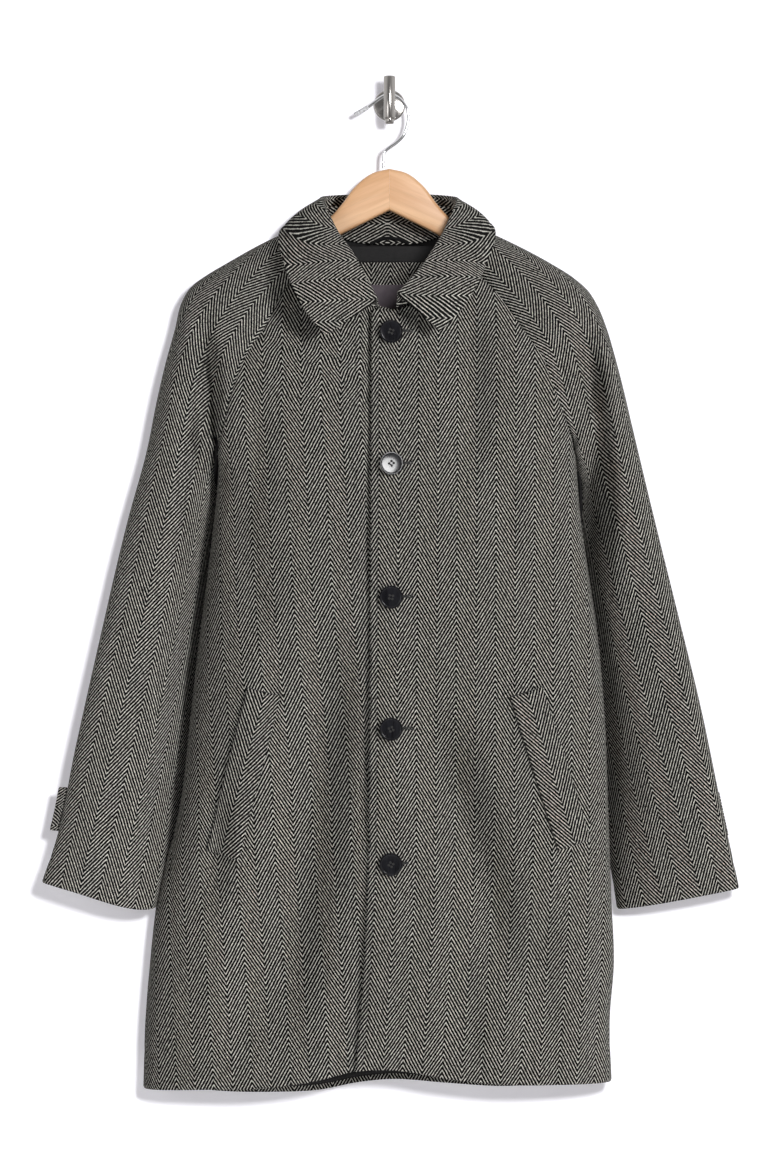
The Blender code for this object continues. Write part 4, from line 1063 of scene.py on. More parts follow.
class COAT_OT_body(bpy.types.Operator):
    """Make the two fronts, the back and the four sleeve halves"""

    bl_idname = "coat.body"
    bl_label = "Coat Body"

    def execute(self, context):
        look = settings()
        grids, normals, flat = body_pieces()
        for name, grid in grids.items():
            normal = normals[name]
            weave = self.weave(name, flat[name])
            sewn_first = not name.startswith("front")
            first, last, _, foot = edge_lengths(grid)
            groove = pressed(SEAM_LINE, last)
            turn = pressed(EDGE_TURN, foot)
            if sewn_first:
                groove = groove + pressed(SEAM_LINE, first)
            else:
                turn = turn + pressed(EDGE_TURN, first)
                groove = groove + pressed(FRONT_STITCH_LINE, first, look.stitch_inset)
            if name == "front_right":
                groove = groove + pressed(SIDE_LINE, grid[..., 0], SIDE_LINE_X)
            if name.startswith("sleeve"):
                groove = groove + pressed(CUFF_LINE, foot, CUFF_LINE_UP)
            else:
                groove = groove + pressed(HEM_LINE, foot, HEM_LINE_UP)
            draw_back(grid, SEAT if sewn_first else 0.0, SEAT)
            outer = grid - normal * (groove + turn)[..., None]
            inner = grid - normal * (look.cloth - 0.4 * turn)[..., None]
            lined = (foot > LINING_UP.get(name, LINING_UP["other"])).astype(np.int32)
            if not sewn_first:
                lined[first < FACING_WIDTH] = 0
            piece = make_shell(
                name + "_cloth", outer, inner, weave, [material("wool"), material("lining")], lined
            )
            declare(piece, "wool", name)
            size, area = cut_size(grid)
        return {"FINISHED"}

    def weave(self, name, grid):
        """Places on the cloth as cut: across the columns and along them."""
        z = grid[..., 2]
        if name.startswith("sleeve"):
            side = name.rsplit("_", 1)[1]
            start = int(grid.shape[1] * 0.55)
            run = run_across(grid, start)
            way = unit(grid[:, -1] - grid[:, 0])[:, None, [0, 2]]
            flat = grid[:, start : start + 1, [0, 2]] + unit(way) * run[..., None]
            u, v = grain_places(flat, SLEEVE_GRAIN[side])
            return np.stack([u - SLEEVE_SHIFT[side], -v], axis=-1)
        level_grid = grid.copy()
        level_grid[..., 2] = 0.0
        if name == "back":
            middle = int(np.argmin(np.abs(grid[-1, :, 0])))
            return np.stack([run_across(level_grid, middle), z], axis=-1)
        across = run_across(level_grid)
        if name == "front_left":
            return np.stack([across - FRONT_SHIFT["left"], z], axis=-1)
        edge = grid[:, :1, 0]
        lean = level(LEANS, "aside", z)
        return np.stack([-across + edge + FRONT_SHIFT["right"] - lean, z], axis=-1)


def collar_grid(steps, lead):
    """Collar points around the neck: the leaf with its roll, then the stand beneath the roll."""
    fold_rows = np.array([row.fold for row in COLLAR])
    station = stations(fold_rows)
    at = np.concatenate([lead, np.linspace(lead[-1] + 0.004, station[-1] - lead[-1] - 0.004, steps)])
    at = np.concatenate([at, station[-1] - lead[::-1]])
    neck = smooth(station, [row.neck for row in COLLAR], at)
    fold = smooth(station, fold_rows, at)
    edge = smooth(station, [row.edge for row in COLLAR], at)
    run = unit(np.gradient(fold, axis=0))
    down = unit(unit(neck - fold) + unit(edge - fold))
    out = unit(np.cross(run, down))
    towards = np.stack([fold[:, 0], fold[:, 1] + 0.055, np.zeros(len(fold))], axis=-1)
    out = np.where(np.sum(out * towards, axis=-1, keepdims=True) < 0, -out, out)
    inner_top = fold - out * ROLL
    inner_run = unit(neck - inner_top)
    seam = inner_top + inner_run * STAND_SEAM
    columns = [seam + (inner_top - seam) * share for share in (0.0, 0.2, 0.4, 0.65, 0.9)]
    for share in np.linspace(0.06, 0.94, 12):
        angle = share * math.pi
        columns.append(fold - out * ROLL * math.cos(angle) - down * ROLL_RISE * math.sin(angle))
    outer_top = fold + out * ROLL
    leaf = edge - outer_top
    face = unit(np.cross(np.gradient(edge, axis=0), leaf))
    face = np.where(np.sum(face * out, axis=-1, keepdims=True) < 0, -face, face)
    shares = np.concatenate([np.linspace(0.05, 0.74, 16), 1 - EDGE_STEPS[::-1] / LEAF_WIDTH])
    for share in shares:
        columns.append(outer_top + leaf * share + face * LEAF_BULGE * math.sin(share * math.pi))
    grid = np.stack(columns, axis=1)
    low = neck - unit(neck - seam) * 0.0012
    high = seam + inner_run * 3 * SEAT
    share = np.linspace(0, 1, 14)[None, :, None]
    stand = low[:, None] * (1 - share) + high[:, None] * share
    return grid, stand, at - station[-1] / 2


class COAT_OT_collar(bpy.types.Operator):
    """Make the collar leaf with its roll, and the stand inside the neck"""

    bl_idname = "coat.collar"
    bl_label = "Coat Collar"

    def execute(self, context):
        look = settings()
        grid, stand, place = collar_grid(COLLAR_STEPS, EDGE_STEPS)
        normal = grid_normals(grid, (0, 1, 0), -1)
        _, last, ends, other = edge_lengths(grid)
        border = np.minimum(last, np.minimum(ends, other))
        groove = pressed(EDGE_TURN, border) + pressed(COLLAR_STITCH_LINE, border, look.stitch_inset)
        outer = grid - normal * groove[..., None]
        inner = grid - normal * look.cloth
        leaf = make_shell("collar_fall_cloth", outer, inner, self.weave(grid, place), [material("wool")])
        declare(leaf, "wool", "collar_fall")
        self.cut(leaf, grid)
        stand_normal = grid_normals(stand, (0, -1, 0), 1)
        stand_normal[:, -1] = normal[:, 0]
        across = run_across(stand, stand.shape[1] - 1)
        around = np.abs(place)[:, None] + np.zeros_like(across)
        weave = np.stack([across, around], axis=-1)
        band = make_shell(
            "collar_stand_cloth", stand, stand - stand_normal * look.cloth, weave, [material("wool")]
        )
        declare(band, "wool", "collar_stand")
        self.cut(band, stand)
        return {"FINISHED"}

    def weave(self, grid, place):
        """Columns run around the neck at the back and lie level on the front leaves."""
        away = np.abs(place)
        slant = COLLAR_SLANT * ease((away - 0.06) / 0.12)
        middle = len(grid) // 2
        step = np.diff(away, prepend=away[0]) * np.where(np.arange(len(away)) > middle, 1, -1)
        step[: middle + 1] = -np.diff(away, append=away[middle + 1])[: middle + 1]
        drop = self.from_middle(np.sin(slant) * step, middle)
        around = self.from_middle(np.cos(slant) * step, middle)
        level_row = int(np.argmin(np.abs(grid[: middle // 2, COLLAR_COLUMN, 2] - COLLAR_APEX)))
        drop = drop - drop[level_row]
        reach = run_across(grid, COLLAR_COLUMN)
        u = drop[:, None] + np.cos(slant)[:, None] * reach
        v = around[:, None] - np.sin(slant)[:, None] * reach
        return np.stack([u, v], axis=-1)

    def from_middle(self, step, middle):
        """Running sum outwards from the middle of the back, both ways."""
        total = np.zeros(len(step))
        total[middle + 1 :] = np.cumsum(step[middle + 1 :])
        total[:middle] = np.cumsum(step[:middle][::-1])[::-1]
        return total

    def cut(self, piece, grid):
        size, area = cut_size(grid)


def front_surface(x, z, side):
    """Depth of a finished front at a place on it."""
    return panel_depth(x, z, body_border(side)) + fold_field(x, z, FRONT_FOLDS)


def lay_patch(name, base, normal, lift, thick, weave, materials, soften=0.0006):
    """A flat piece laid on another: its edges roll down towards what it lies on."""
    first, last, top, foot = edge_lengths(base)
    border = np.minimum(np.minimum(first, last), np.minimum(top, foot))
    roll = soften * dip(border, 0.0, 0.0011)
    outer = base + normal * (lift + thick - roll)[..., None]
    inner = base + normal * lift
    return make_shell(name, outer, inner, weave, materials, bulge=0.0003)


def edged(count, length):
    """Shares from 0 to 1 with close steps at both ends."""
    edge = EDGE_STEPS[:7] / length
    inner = np.linspace(edge[-1], 1 - edge[-1], count)[1:-1]
    return np.concatenate([edge, inner, 1 - edge[::-1]])


# How far a cuff strap stands off where it turns round the sleeve's outer edge; the left one lies flat
# behind. Its width, its upper edge above the cuff, and where it starts and ends in the sleeve's half turn.
TAB_STAND = {"right": 0.012, "left": 0.0}
TAB_START = {"right": 0.0, "left": 0.05}
TAB_END = 0.55
TAB_WIDTH = 0.051
TAB_UP = 0.113


def welt_frame(welt):
    """Length of a welt, and its ways along and across, as (x, z)."""
    run = np.array((welt.foot_x - welt.top_x, welt.foot_z - welt.top_z))
    length = math.hypot(*run)
    run = run / length
    return length, run, np.array((-run[1], run[0]))


class COAT_OT_welts(bpy.types.Operator):
    """Make the slanted pocket welts and the straps around the cuffs"""

    bl_idname = "coat.welts"
    bl_label = "Coat Welts and Tabs"

    def execute(self, context):
        look = settings()
        for side, welt in WELTS.items():
            length, _, wide = welt_frame(welt)
            along = edged(44, length)[:, None]
            across = edged(12, welt.width)[None, :] - 0.5
            x = welt.top_x + (welt.foot_x - welt.top_x) * along + wide[0] * across * welt.width
            z = welt.top_z + (welt.foot_z - welt.top_z) * along + wide[1] * across * welt.width
            base = np.stack([x, front_surface(x, z, side), z], axis=-1)
            normal = grid_normals(base, (0, -1, 0))
            weave = np.stack(
                [across * welt.width + look.column + 0 * along, -along * length + 0 * across], axis=-1
            )
            piece = lay_patch(
                "welt_%s_cloth" % side, base, normal, 0.0009, 1.6 * look.cloth, weave,
                [material("wool")], 0.0012,
            )
            declare(piece, "wool", "welt_" + side)
        for side, table in SLEEVES.items():
            total = sleeve_lengths(table)[-1]
            at = total - TAB_UP + edged(10, TAB_WIDTH) * TAB_WIDTH
            around = TAB_START[side] + edged(26, 0.09) * (TAB_END - TAB_START[side])
            base = sleeve_half(table, at, around, True)
            across = run_across(base)
            stand = TAB_STAND[side] * ease(across / 0.010) * (1 - ease((across - 0.012) / 0.030))
            base[..., 0] += np.sign(table[UNDERARM].outer_x) * stand
            normal = grid_normals(base, (0, 1, 0))
            across = run_across(base)
            weave = np.stack([at[:, None] - total + 0 * across, across], axis=-1)
            piece = lay_patch(
                "cuff_tab_%s_cloth" % side, base, normal, 0.0008, look.cloth, weave, [material("wool")]
            )
            declare(piece, "wool", "cuff_tab_" + side)
        return {"FINISHED"}


# Strips laid inside the back neck.
Strip = namedtuple("Strip", "node slot half_width top foot lift thick shift")
STRIPS = [
    Strip("neck_lining", "lining", 0.0700, -0.1680, -0.1870, 0.0010, 0.0012, 0.0),
    Strip("back_neck_facing", "wool", 0.0780, -0.1874, -0.2480, 0.0010, 0.0012, 0.0),
    Strip("neck_label", "label", 0.0260, -0.2140, -0.2440, 0.0025, 0.0010, -0.0100),
    Strip("hanger_loop", "loop", 0.0230, -0.1640, -0.1674, 0.0033, 0.0022, 0.0),
]
LOOP_RISE = 0.0070  # how far the loop's middle stands above its ends
LOOP_BULGE = 0.0006
# The lining above the back hem: width, height and its foot above the hem.
HEM_LINING_WIDTH = 0.36
HEM_LINING_HEIGHT = 0.05
HEM_LINING_UP = 0.0085


class COAT_OT_inside(bpy.types.Operator):
    """Make the facing, lining, bare label and loop inside the neck, and the lining above the back hem"""

    bl_idname = "coat.inside"
    bl_label = "Coat Inside"

    def execute(self, context):
        look = settings()
        border = body_border("left", True)
        for strip in STRIPS:
            width = 2 * strip.half_width
            height = strip.top - strip.foot
            short = height < 0.01
            x = (edged(20, width) - 0.5)[None, :] * width + strip.shift
            down = np.linspace(0, 1, 9) if short else edged(10, height)
            z = strip.top - height * down[:, None] + 0 * x
            x = x + 0 * z
            y = panel_depth(np.abs(x), z, border, True) - look.cloth
            base = np.stack([x, y, z], axis=-1)
            normal = grid_normals(base, (0, -1, 0))
            weave = np.stack([x - 0.001, z], axis=-1)
            if strip.slot == "loop":
                base[..., 1] -= LOOP_BULGE * np.sin((x / width + 0.5) * math.pi)
                base[..., 2] += LOOP_RISE * (1 - (2 * x / width) ** 2)
            piece = lay_patch(
                strip.node + "_cloth", base, normal, strip.lift, strip.thick, weave, [material(strip.slot)],
                0.0009 if short else 0.0004,
            )
            declare(piece, strip.slot, strip.node)
        wide, high = HEM_LINING_WIDTH, HEM_LINING_HEIGHT
        x = (edged(40, wide) - 0.5)[None, :] * wide
        foot = hem_level(x, "back_z") + HEM_LINING_UP
        z = foot + high * (1 - edged(8, high))[:, None]
        x = x + 0 * z
        y = panel_depth(np.abs(x), z, border, True) - look.cloth - fold_field(x, z, BACK_FOLDS)
        base = np.stack([x, y, z], axis=-1)
        piece = lay_patch(
            "back_hem_lining_cloth", base, grid_normals(base, (0, -1, 0)), 0.0012, look.trim,
            np.stack([x, z], axis=-1), [material("lining")], 0.0005,
        )
        declare(piece, "lining", "back_hem_lining")
        return {"FINISHED"}


def turned_mesh(profile, steps):
    """A solid of revolution about Y from (radius, height) pairs."""
    work = bmesh.new()
    points = [work.verts.new((radius, -height, 0.0)) for radius, height in profile]
    edges = [work.edges.new(pair) for pair in zip(points, points[1:])]
    bmesh.ops.spin(
        work,
        geom=points + edges,
        cent=(0, 0, 0),
        axis=(0, 1, 0),
        angle=2 * math.pi,
        steps=steps,
        use_merge=True,
    )
    bmesh.ops.remove_doubles(work, verts=work.verts, dist=0.00002)
    bmesh.ops.recalc_face_normals(work, faces=work.faces)
    return work


def place_mesh(name, work, matrix, looks, smooth_angle=40.0):
    """Turn working geometry into a piece whose place is in its mesh."""
    mesh = bpy.data.meshes.new(name)
    work.to_mesh(mesh)
    work.free()
    mesh.transform(matrix)
    mesh.shade_smooth()
    mesh.set_sharp_from_angle(angle=math.radians(smooth_angle))
    for look in looks:
        mesh.materials.append(look)
    return add_object(name, mesh)


def add_rod(work, path, radius, sides=8, material_index=0):
    """A round rod through 3D points, closed at both ends."""
    path = [Vector(p) for p in path]
    rings = []
    normal = None
    for i, point in enumerate(path):
        way = (path[min(i + 1, len(path) - 1)] - path[max(i - 1, 0)]).normalized()
        if normal is None:
            normal = way.orthogonal().normalized()
        normal = (normal - way * normal.dot(way)).normalized()
        other = way.cross(normal)
        ring = []
        for k in range(sides):
            angle = 2 * math.pi * k / sides
            ring.append(work.verts.new(point + (normal * math.cos(angle) + other * math.sin(angle)) * radius))
        rings.append(ring)
    faces = []
    for low, high in zip(rings, rings[1:]):
        for k in range(sides):
            faces.append(work.faces.new((low[k], low[(k + 1) % sides], high[(k + 1) % sides], high[k])))
    faces.append(work.faces.new(rings[0][::-1]))
    faces.append(work.faces.new(rings[-1]))
    for face in faces:
        face.material_index = material_index


# A button's section: share of the radius, distance in from it, and height.
Rim = namedtuple("Rim", "share inset height")
BUTTON_RIMS = [
    Rim(0.00, 0.0000, 0.0002),
    Rim(0.70, 0.0000, 0.0000),
    Rim(1.00, 0.0010, 0.0003),
    Rim(1.00, 0.0003, 0.0008),
    Rim(1.00, 0.0000, 0.0016),
    Rim(1.00, 0.0001, 0.0026),
    Rim(1.00, 0.0003, 0.0034),
    Rim(1.00, 0.0007, 0.0039),
    Rim(1.00, 0.0011, 0.0039),
    Rim(1.00, 0.0015, 0.0035),
    Rim(1.00, 0.0019, 0.0030),
    Rim(1.00, 0.0023, 0.00282),
    Rim(1.00, 0.0027, 0.00276),
    Rim(0.35, 0.0000, 0.0027),
    Rim(0.00, 0.0000, 0.0027),
]
# Its holes: distance from the middle, and the rim and the sunk ring as (radius, height). They are not cut
# through: dark discs in the thread's colour paint the shade inside each hole, with its thread.
HOLE_OUT = 0.0026
HOLE_RINGS = ((0.0015, 0.00284), (0.0011, 0.00276))
HOLE_SIDES = 14
# A thread across two holes as (x, height), its place from the middle, the gap in a pair and its radius.
THREAD_PATH = [(-0.0020, 0.0024), (-0.0011, 0.0031), (0.0011, 0.0031), (0.0020, 0.0024)]
THREAD_OUT = 0.0019
THREAD_GAP = 0.00025
THREAD_RADIUS = 0.00024


class COAT_OT_buttons(bpy.types.Operator):
    """Make the turned buttons with their sewing thread"""

    bl_idname = "coat.buttons"
    bl_label = "Coat Buttons"

    def execute(self, context):
        radius = settings().button / 2
        profile = [(radius * rim.share - rim.inset, rim.height) for rim in BUTTON_RIMS]
        for number, row in enumerate(BUTTONS, start=1):
            near = np.array([row.z - radius, row.z, row.z + radius])
            seat_y = float(level(DEPTHS, "front_y", near).min()) - SEAT
            work = turned_mesh(profile, 56)
            self.holes_with_painted_shade(work)
            self.sew(work)
            lift = radius * math.sin(math.radians(math.hypot(row.tip_x, row.tip_z)))
            turn = Matrix.Translation((BUTTON_X, seat_y - BUTTON_LIFT * lift, row.z))
            turn = turn @ Matrix.Rotation(math.radians(row.tip_x), 4, "X")
            turn = turn @ Matrix.Rotation(math.radians(row.tip_z), 4, "Z")
            turn = turn @ Matrix.Rotation(math.radians(row.turn), 4, "Y")
            looks = [material("horn"), material("thread")]
            piece = place_mesh("button_%d_turned" % number, work, turn, looks)
            declare(piece, "horn", "button_%d" % number)
        return {"FINISHED"}

    def holes_with_painted_shade(self, work):
        """Four holes around the middle: a rim and a lower floor, both a little proud of the face and in the
        dark thread colour, which paints the shade inside a hole along with its thread.
        """
        for corner in range(4):
            angle = math.radians(45 + 90 * corner)
            x, z = HOLE_OUT * math.cos(angle), HOLE_OUT * math.sin(angle)
            rim, sunk = [], []
            for k in range(HOLE_SIDES):
                turn = 2 * math.pi * k / HOLE_SIDES
                for ring, (radius, height) in zip((rim, sunk), HOLE_RINGS):
                    place = (x + radius * math.cos(turn), -height, z + radius * math.sin(turn))
                    ring.append(work.verts.new(place))
            for k in range(HOLE_SIDES):
                after = (k + 1) % HOLE_SIDES
                face = work.faces.new((rim[k], rim[after], sunk[after], sunk[k]))
                # rim and floor take the dark thread colour: painted shade inside the hole, with its thread
                face.material_index = 1
            work.faces.new(sunk).material_index = 1

    def sew(self, work):
        """Two stitches of thread across the holes."""
        for sign in (-1, 1):
            for shift in (-THREAD_GAP, THREAD_GAP):
                z = sign * THREAD_OUT + shift
                path = [(x, -height, z) for x, height in THREAD_PATH]
                add_rod(work, path, THREAD_RADIUS, 6, 1)


def stitch_tree():
    """Geometry nodes that sew small stitches along the edges of a mesh."""
    tree = bpy.data.node_groups.new("topstitch", "GeometryNodeTree")
    face = tree.interface
    face.new_socket("Geometry", in_out="INPUT", socket_type="NodeSocketGeometry")
    for name, value in (("Pitch", 0.003), ("Length", 0.0021), ("Thread", 0.00035)):
        socket = face.new_socket(name, in_out="INPUT", socket_type="NodeSocketFloat")
        socket.default_value = value
    face.new_socket("Material", in_out="INPUT", socket_type="NodeSocketMaterial")
    face.new_socket("Geometry", in_out="OUTPUT", socket_type="NodeSocketGeometry")
    given = node(tree, "NodeGroupInput").outputs
    curve = node(tree, "GeometryNodeMeshToCurve", given["Geometry"]).outputs["Curve"]
    spaced = node(tree, "GeometryNodeResampleCurve", mode="LENGTH")
    bead = node(tree, "GeometryNodeMeshUVSphere", 6, 4, 1.0).outputs["Mesh"]
    tangent = node(tree, "GeometryNodeInputTangent").outputs[0]
    align = node(tree, "FunctionNodeAlignRotationToVector", axis="X")
    half = node(tree, "ShaderNodeMath", given["Length"], 0.5, operation="MULTIPLY").outputs[0]
    size = node(tree, "ShaderNodeCombineXYZ", half, given["Thread"], given["Thread"]).outputs[0]
    beads = node(tree, "GeometryNodeInstanceOnPoints")
    real = node(tree, "GeometryNodeRealizeInstances", beads.outputs["Instances"]).outputs["Geometry"]
    dyed = node(tree, "GeometryNodeSetMaterial", real)
    for source, target in (
        (curve, spaced.inputs["Curve"]),
        (given["Pitch"], spaced.inputs["Length"]),
        (tangent, align.inputs["Vector"]),
        (spaced.outputs["Curve"], beads.inputs["Points"]),
        (bead, beads.inputs["Instance"]),
        (align.outputs[0], beads.inputs["Rotation"]),
        (size, beads.inputs["Scale"]),
        (given["Material"], dyed.inputs["Material"]),
    ):
        put(tree, target, source)
    node(tree, "NodeGroupOutput", dyed.outputs["Geometry"])
    return tree


def sew(name, lines, slot, pitch, length, thread):
    """Stitches along lines of points, as one plain mesh."""
    points, edges = [], []
    for line in lines:
        start = len(points)
        points.extend([tuple(p) for p in line])
        edges.extend((i, i + 1) for i in range(start, len(points) - 1))
    guide = bpy.data.meshes.new(name + "_guide")
    guide.from_pydata(points, edges, [])
    sewn = add_object(name + "_guide", guide)
    modifier = sewn.modifiers.new("Stitches", "NODES")
    tree = bpy.data.node_groups.get("topstitch") or stitch_tree()
    modifier.node_group = tree
    values = {"Pitch": pitch, "Length": length, "Thread": thread, "Material": material("thread")}
    for item in tree.interface.items_tree:
        if item.in_out == "INPUT" and item.name in values:
            modifier[item.identifier] = values[item.name]
    graph = bpy.context.evaluated_depsgraph_get()
    graph.update()
    mesh = bpy.data.meshes.new_from_object(sewn.evaluated_get(graph))
    mesh.name = name
    mesh.shade_smooth()
    if not mesh.materials:
        mesh.materials.append(material("thread"))
    piece = add_object(name, mesh)
    bpy.data.objects.remove(sewn)
    bpy.data.meshes.remove(guide)
    return declare(piece, slot)


# Where the sewing lies: front edge stitches from and to, how far the welts' stitches lie outside them
# (their dark cord also paints the shadow line at each welt's edge), and the buttonholes' half length and
# their middle beside the buttons.
FRONT_STITCHES = (-0.285, -1.118)
WELT_STITCH_OUT = 0.0004
HOLE_HALF = 0.0125
HOLE_ASIDE = 0.0120


class COAT_OT_stitches(bpy.types.Operator):
    """Sew the topstitching of collar, front edge and welts, whose dark stitching also paints a shadow line,
    and the buttonholes
    """

    bl_idname = "coat.stitches"
    bl_label = "Coat Topstitching"

    def execute(self, context):
        look = settings()
        inset = look.stitch_inset
        pitch = look.stitch
        sew("front_edge_stitches", [self.front_line(inset)], "wool", pitch, pitch * 0.72, 0.00032)
        sew("collar_stitches", [self.collar_line(inset)], "wool", pitch, pitch * 0.72, 0.00032)
        # thick dark thread whose stitches overlap into one cord round each welt: stitching, and a painted
        # shadow line at the welt's edge
        sew("welt_stitches", self.welt_stitch_and_shadow_lines(), "wool", 0.0016, 0.0019, 0.00066)
        sew("buttonhole_stitches", self.buttonholes(), "wool", 0.0011, 0.0015, 0.00085)
        return {"FINISHED"}

    def front_line(self, inset):
        z = np.linspace(*FRONT_STITCHES, 220)
        x = level(DEPTHS, "edge_x", z) + inset
        y = front_surface(x, z, "left") + 0.0004
        return np.stack([x, y, z], axis=-1)

    def collar_line(self, inset):
        grid, _, _ = collar_grid(COLLAR_STEPS, EDGE_STEPS)
        normal = grid_normals(grid, (0, 1, 0), -1)
        row = int(np.argmin(np.abs(EDGE_STEPS - inset)))
        column = grid.shape[1] - 1 - row
        sunk = grid - normal * 0.0005
        first = sunk[row, 18 : column + 1]
        last = sunk[-1 - row, 18 : column + 1]
        return np.concatenate([first, sunk[row + 1 : -1 - row, column], last[::-1]])

    def welt_stitch_and_shadow_lines(self):
        # A dark cord just outside each welt: stitching, and the painted shadow line at its edge.
        lines = []
        for side, welt in WELTS.items():
            length, run, wide = welt_frame(welt)
            half = welt.width / 2 + WELT_STITCH_OUT
            outer = -half if wide[0] > 0 else half
            ends = np.full(12, -WELT_STITCH_OUT), np.full(12, length + WELT_STITCH_OUT)
            along = np.concatenate([ends[0], np.linspace(0, length, 60), ends[1]])
            over = np.linspace(-outer, outer, 12)
            back = np.linspace(outer, -outer, 12)
            across = np.concatenate([over, np.full(60, outer), back])
            x = welt.top_x + run[0] * along + wide[0] * across
            z = welt.top_z + run[1] * along + wide[1] * across
            lines.append(np.stack([x, front_surface(x, z, side) - 0.0002, z], axis=-1))
        return lines

    def buttonholes(self):
        """A narrow loop of close stitches beside each button."""
        lines = []
        for row in BUTTONS:
            turn = np.linspace(0, 2 * math.pi, 60)
            x = BUTTON_X + HOLE_ASIDE + HOLE_HALF * np.cos(turn)
            eye = 0.0008 + 0.0010 * ease((x - BUTTON_X - 0.018) / 0.006)
            z = row.z + 0.0008 + eye * np.sign(np.sin(turn)) * np.abs(np.sin(turn)) ** 0.35
            lines.append(np.stack([x, front_surface(x, z, "left") - 0.0002, z], axis=-1))
        return lines


class COAT_OT_hanger(bpy.types.Operator):
    """Make the wooden hanger, its wire hook and the clear sleeve on the hook's end"""

    bl_idname = "coat.hanger"
    bl_label = "Hanger"

    def execute(self, context):
        for side, sign in (("right", -1), ("left", 1)):
            self.arm(side, sign)
        wire = bmesh.new()
        add_rod(wire, self.bend(WIRE_PATH, 90), 0.0020, 20)
        piece = place_mesh("hanger_hook_wire", wire, Matrix.Identity(4), [material("chrome")])
        declare(piece, "chrome", "hanger_hook")
        tip = bmesh.new()
        add_rod(tip, self.bend(TIP_PATH, 16), 0.0026, 20)
        piece = place_mesh("hook_tip_sleeve", tip, Matrix.Identity(4), [material("clear")])
        bevel = piece.modifiers.new("Round end", "BEVEL")
        bevel.width = 0.0009
        bevel.segments = 3
        bevel.limit_method = "ANGLE"
        declare(piece, "clear_tip", "hook_tip")
        return {"FINISHED"}

    def bend(self, path, count):
        """Points of a quadratic spline that starts and ends on its path."""
        path = np.array(path)
        middle = (path[:-1] + path[1:]) / 2
        stops = np.concatenate([path[:1], middle[1:-1], path[-1:]])
        bends = path[1:-1]
        points = []
        each = max(count // len(bends), 3)
        for start, bend, end in zip(stops, bends, stops[1:]):
            for t in np.linspace(0, 1, each, endpoint=False):
                points.append(start * (1 - t) ** 2 + bend * 2 * t * (1 - t) + end * t * t)
        points.append(path[-1])
        return [(x, HANGER_Y, z) for x, z in points]

    def arm(self, side, sign):
        outer = np.array([(abs(row.outer_x), row.outer_z) for row in SLEEVES[side][:5]])
        under_cloth = (0.0020 + 4 * SEAT) / math.cos(math.radians(29))
        reach = np.linspace(outer[0, 0] + 0.004, HANGER_END - 0.006, 7)
        shoulder = smooth(outer[:, 0], outer[:, 1], reach)[:, 0] - under_cloth
        top = np.array(list(HANGER_TOP) + list(zip(reach, shoulder)))
        station = stations(top)
        top = smooth(station, top, np.linspace(0, station[-1], 60))
        top[0, 0] = 0.0
        outline = [tuple(p) for p in top]
        outline += [(HANGER_END, shoulder[-1] - 0.008), (HANGER_END - 0.004, shoulder[-1] - 0.018)]
        outline += HANGER_UNDER
        work = bmesh.new()
        points = []
        for x, z in outline:
            points.append(work.verts.new((sign * max(x, 0.00003), HANGER_Y - HANGER_HALF, z)))
        face = work.faces.new(points)
        made = bmesh.ops.extrude_face_region(work, geom=[face])
        moved = [item for item in made["geom"] if isinstance(item, bmesh.types.BMVert)]
        bmesh.ops.translate(work, verts=moved, vec=(0, 2 * HANGER_HALF, 0))
        bmesh.ops.recalc_face_normals(work, faces=work.faces)
        rounds = []
        for edge in work.edges:
            level_edge = abs(edge.verts[0].co.y - edge.verts[1].co.y) < 0.001
            at_mitre = all(abs(corner.co.x) < 0.001 for corner in edge.verts)
            if level_edge and not at_mitre:
                rounds.append(edge)
        bmesh.ops.bevel(work, geom=rounds, offset=0.0042, segments=5, profile=0.5, affect="EDGES")
        piece = place_mesh(
            "hanger_arm_%s_wood" % side, work, Matrix.Identity(4), [material("maple " + side)], 35.0
        )
        declare(piece, "maple", "hanger_arm_" + side)


class COAT_OT_wall_hook(bpy.types.Operator):
    """Make the wall hook: rosette, post and upright bar"""

    bl_idname = "coat.wall_hook"
    bl_label = "Wall Hook"

    def execute(self, context):
        radius, thick = 0.0185, 0.0060
        profile = [(0.0, 0.0), (radius - 0.0006, 0.0), (radius, 0.0006), (radius, thick - 0.0016)]
        profile += [(radius - 0.0005, thick - 0.0005), (radius - 0.0016, thick), (0.0070, thick)]
        profile += [(0.0066, thick + 0.0001), (0.0, thick + 0.0001)]
        self.turn("wall_rosette_plate", profile, Matrix.Identity(4), "wall_rosette")
        near = -thick - SEAT
        bar, half = 0.0068, 0.025
        far = BAR_Y + bar + SEAT
        length = near - far
        profile = [(0.0, 0.0), (0.0036, 0.0), (0.0042, 0.0006), (0.0042, length - 0.0004)]
        profile += [(0.0038, length), (0.0, length)]
        self.turn("wall_post_rod", profile, Matrix.Translation((0, near, 0)), "wall_post")
        profile = [(0.0, -half - 0.0055), (0.0046, -half - 0.0055), (0.0052, -half - 0.0049), (0.0052, -half)]
        profile += [(bar - 0.0013, -half), (bar - 0.0005, 0.0003 - half), (bar, 0.0012 - half)]
        profile += [(bar, half - 0.0012), (bar - 0.0005, half - 0.0003), (bar - 0.0013, half), (0.0, half)]
        upright = Matrix.Translation((0, BAR_Y, 0)) @ Matrix.Rotation(math.radians(-90), 4, "X")
        self.turn("wall_bar_rod", profile, upright, "wall_bar")
        return {"FINISHED"}

    def turn(self, name, profile, matrix, replaced):
        piece = place_mesh(name, turned_mesh(profile, 64), matrix, [material("nickel")], 50.0)
        declare(piece, "nickel", replaced)


# What the front light reaches: the hard pieces, the inside of the neck and the strap at the sleeve's
# outer edge. The side light has the rest.
FRONT_LIT = ("wall_", "button", "hanger", "hook", "neck", "back_neck", "collar_stand", "cuff_tab_right")
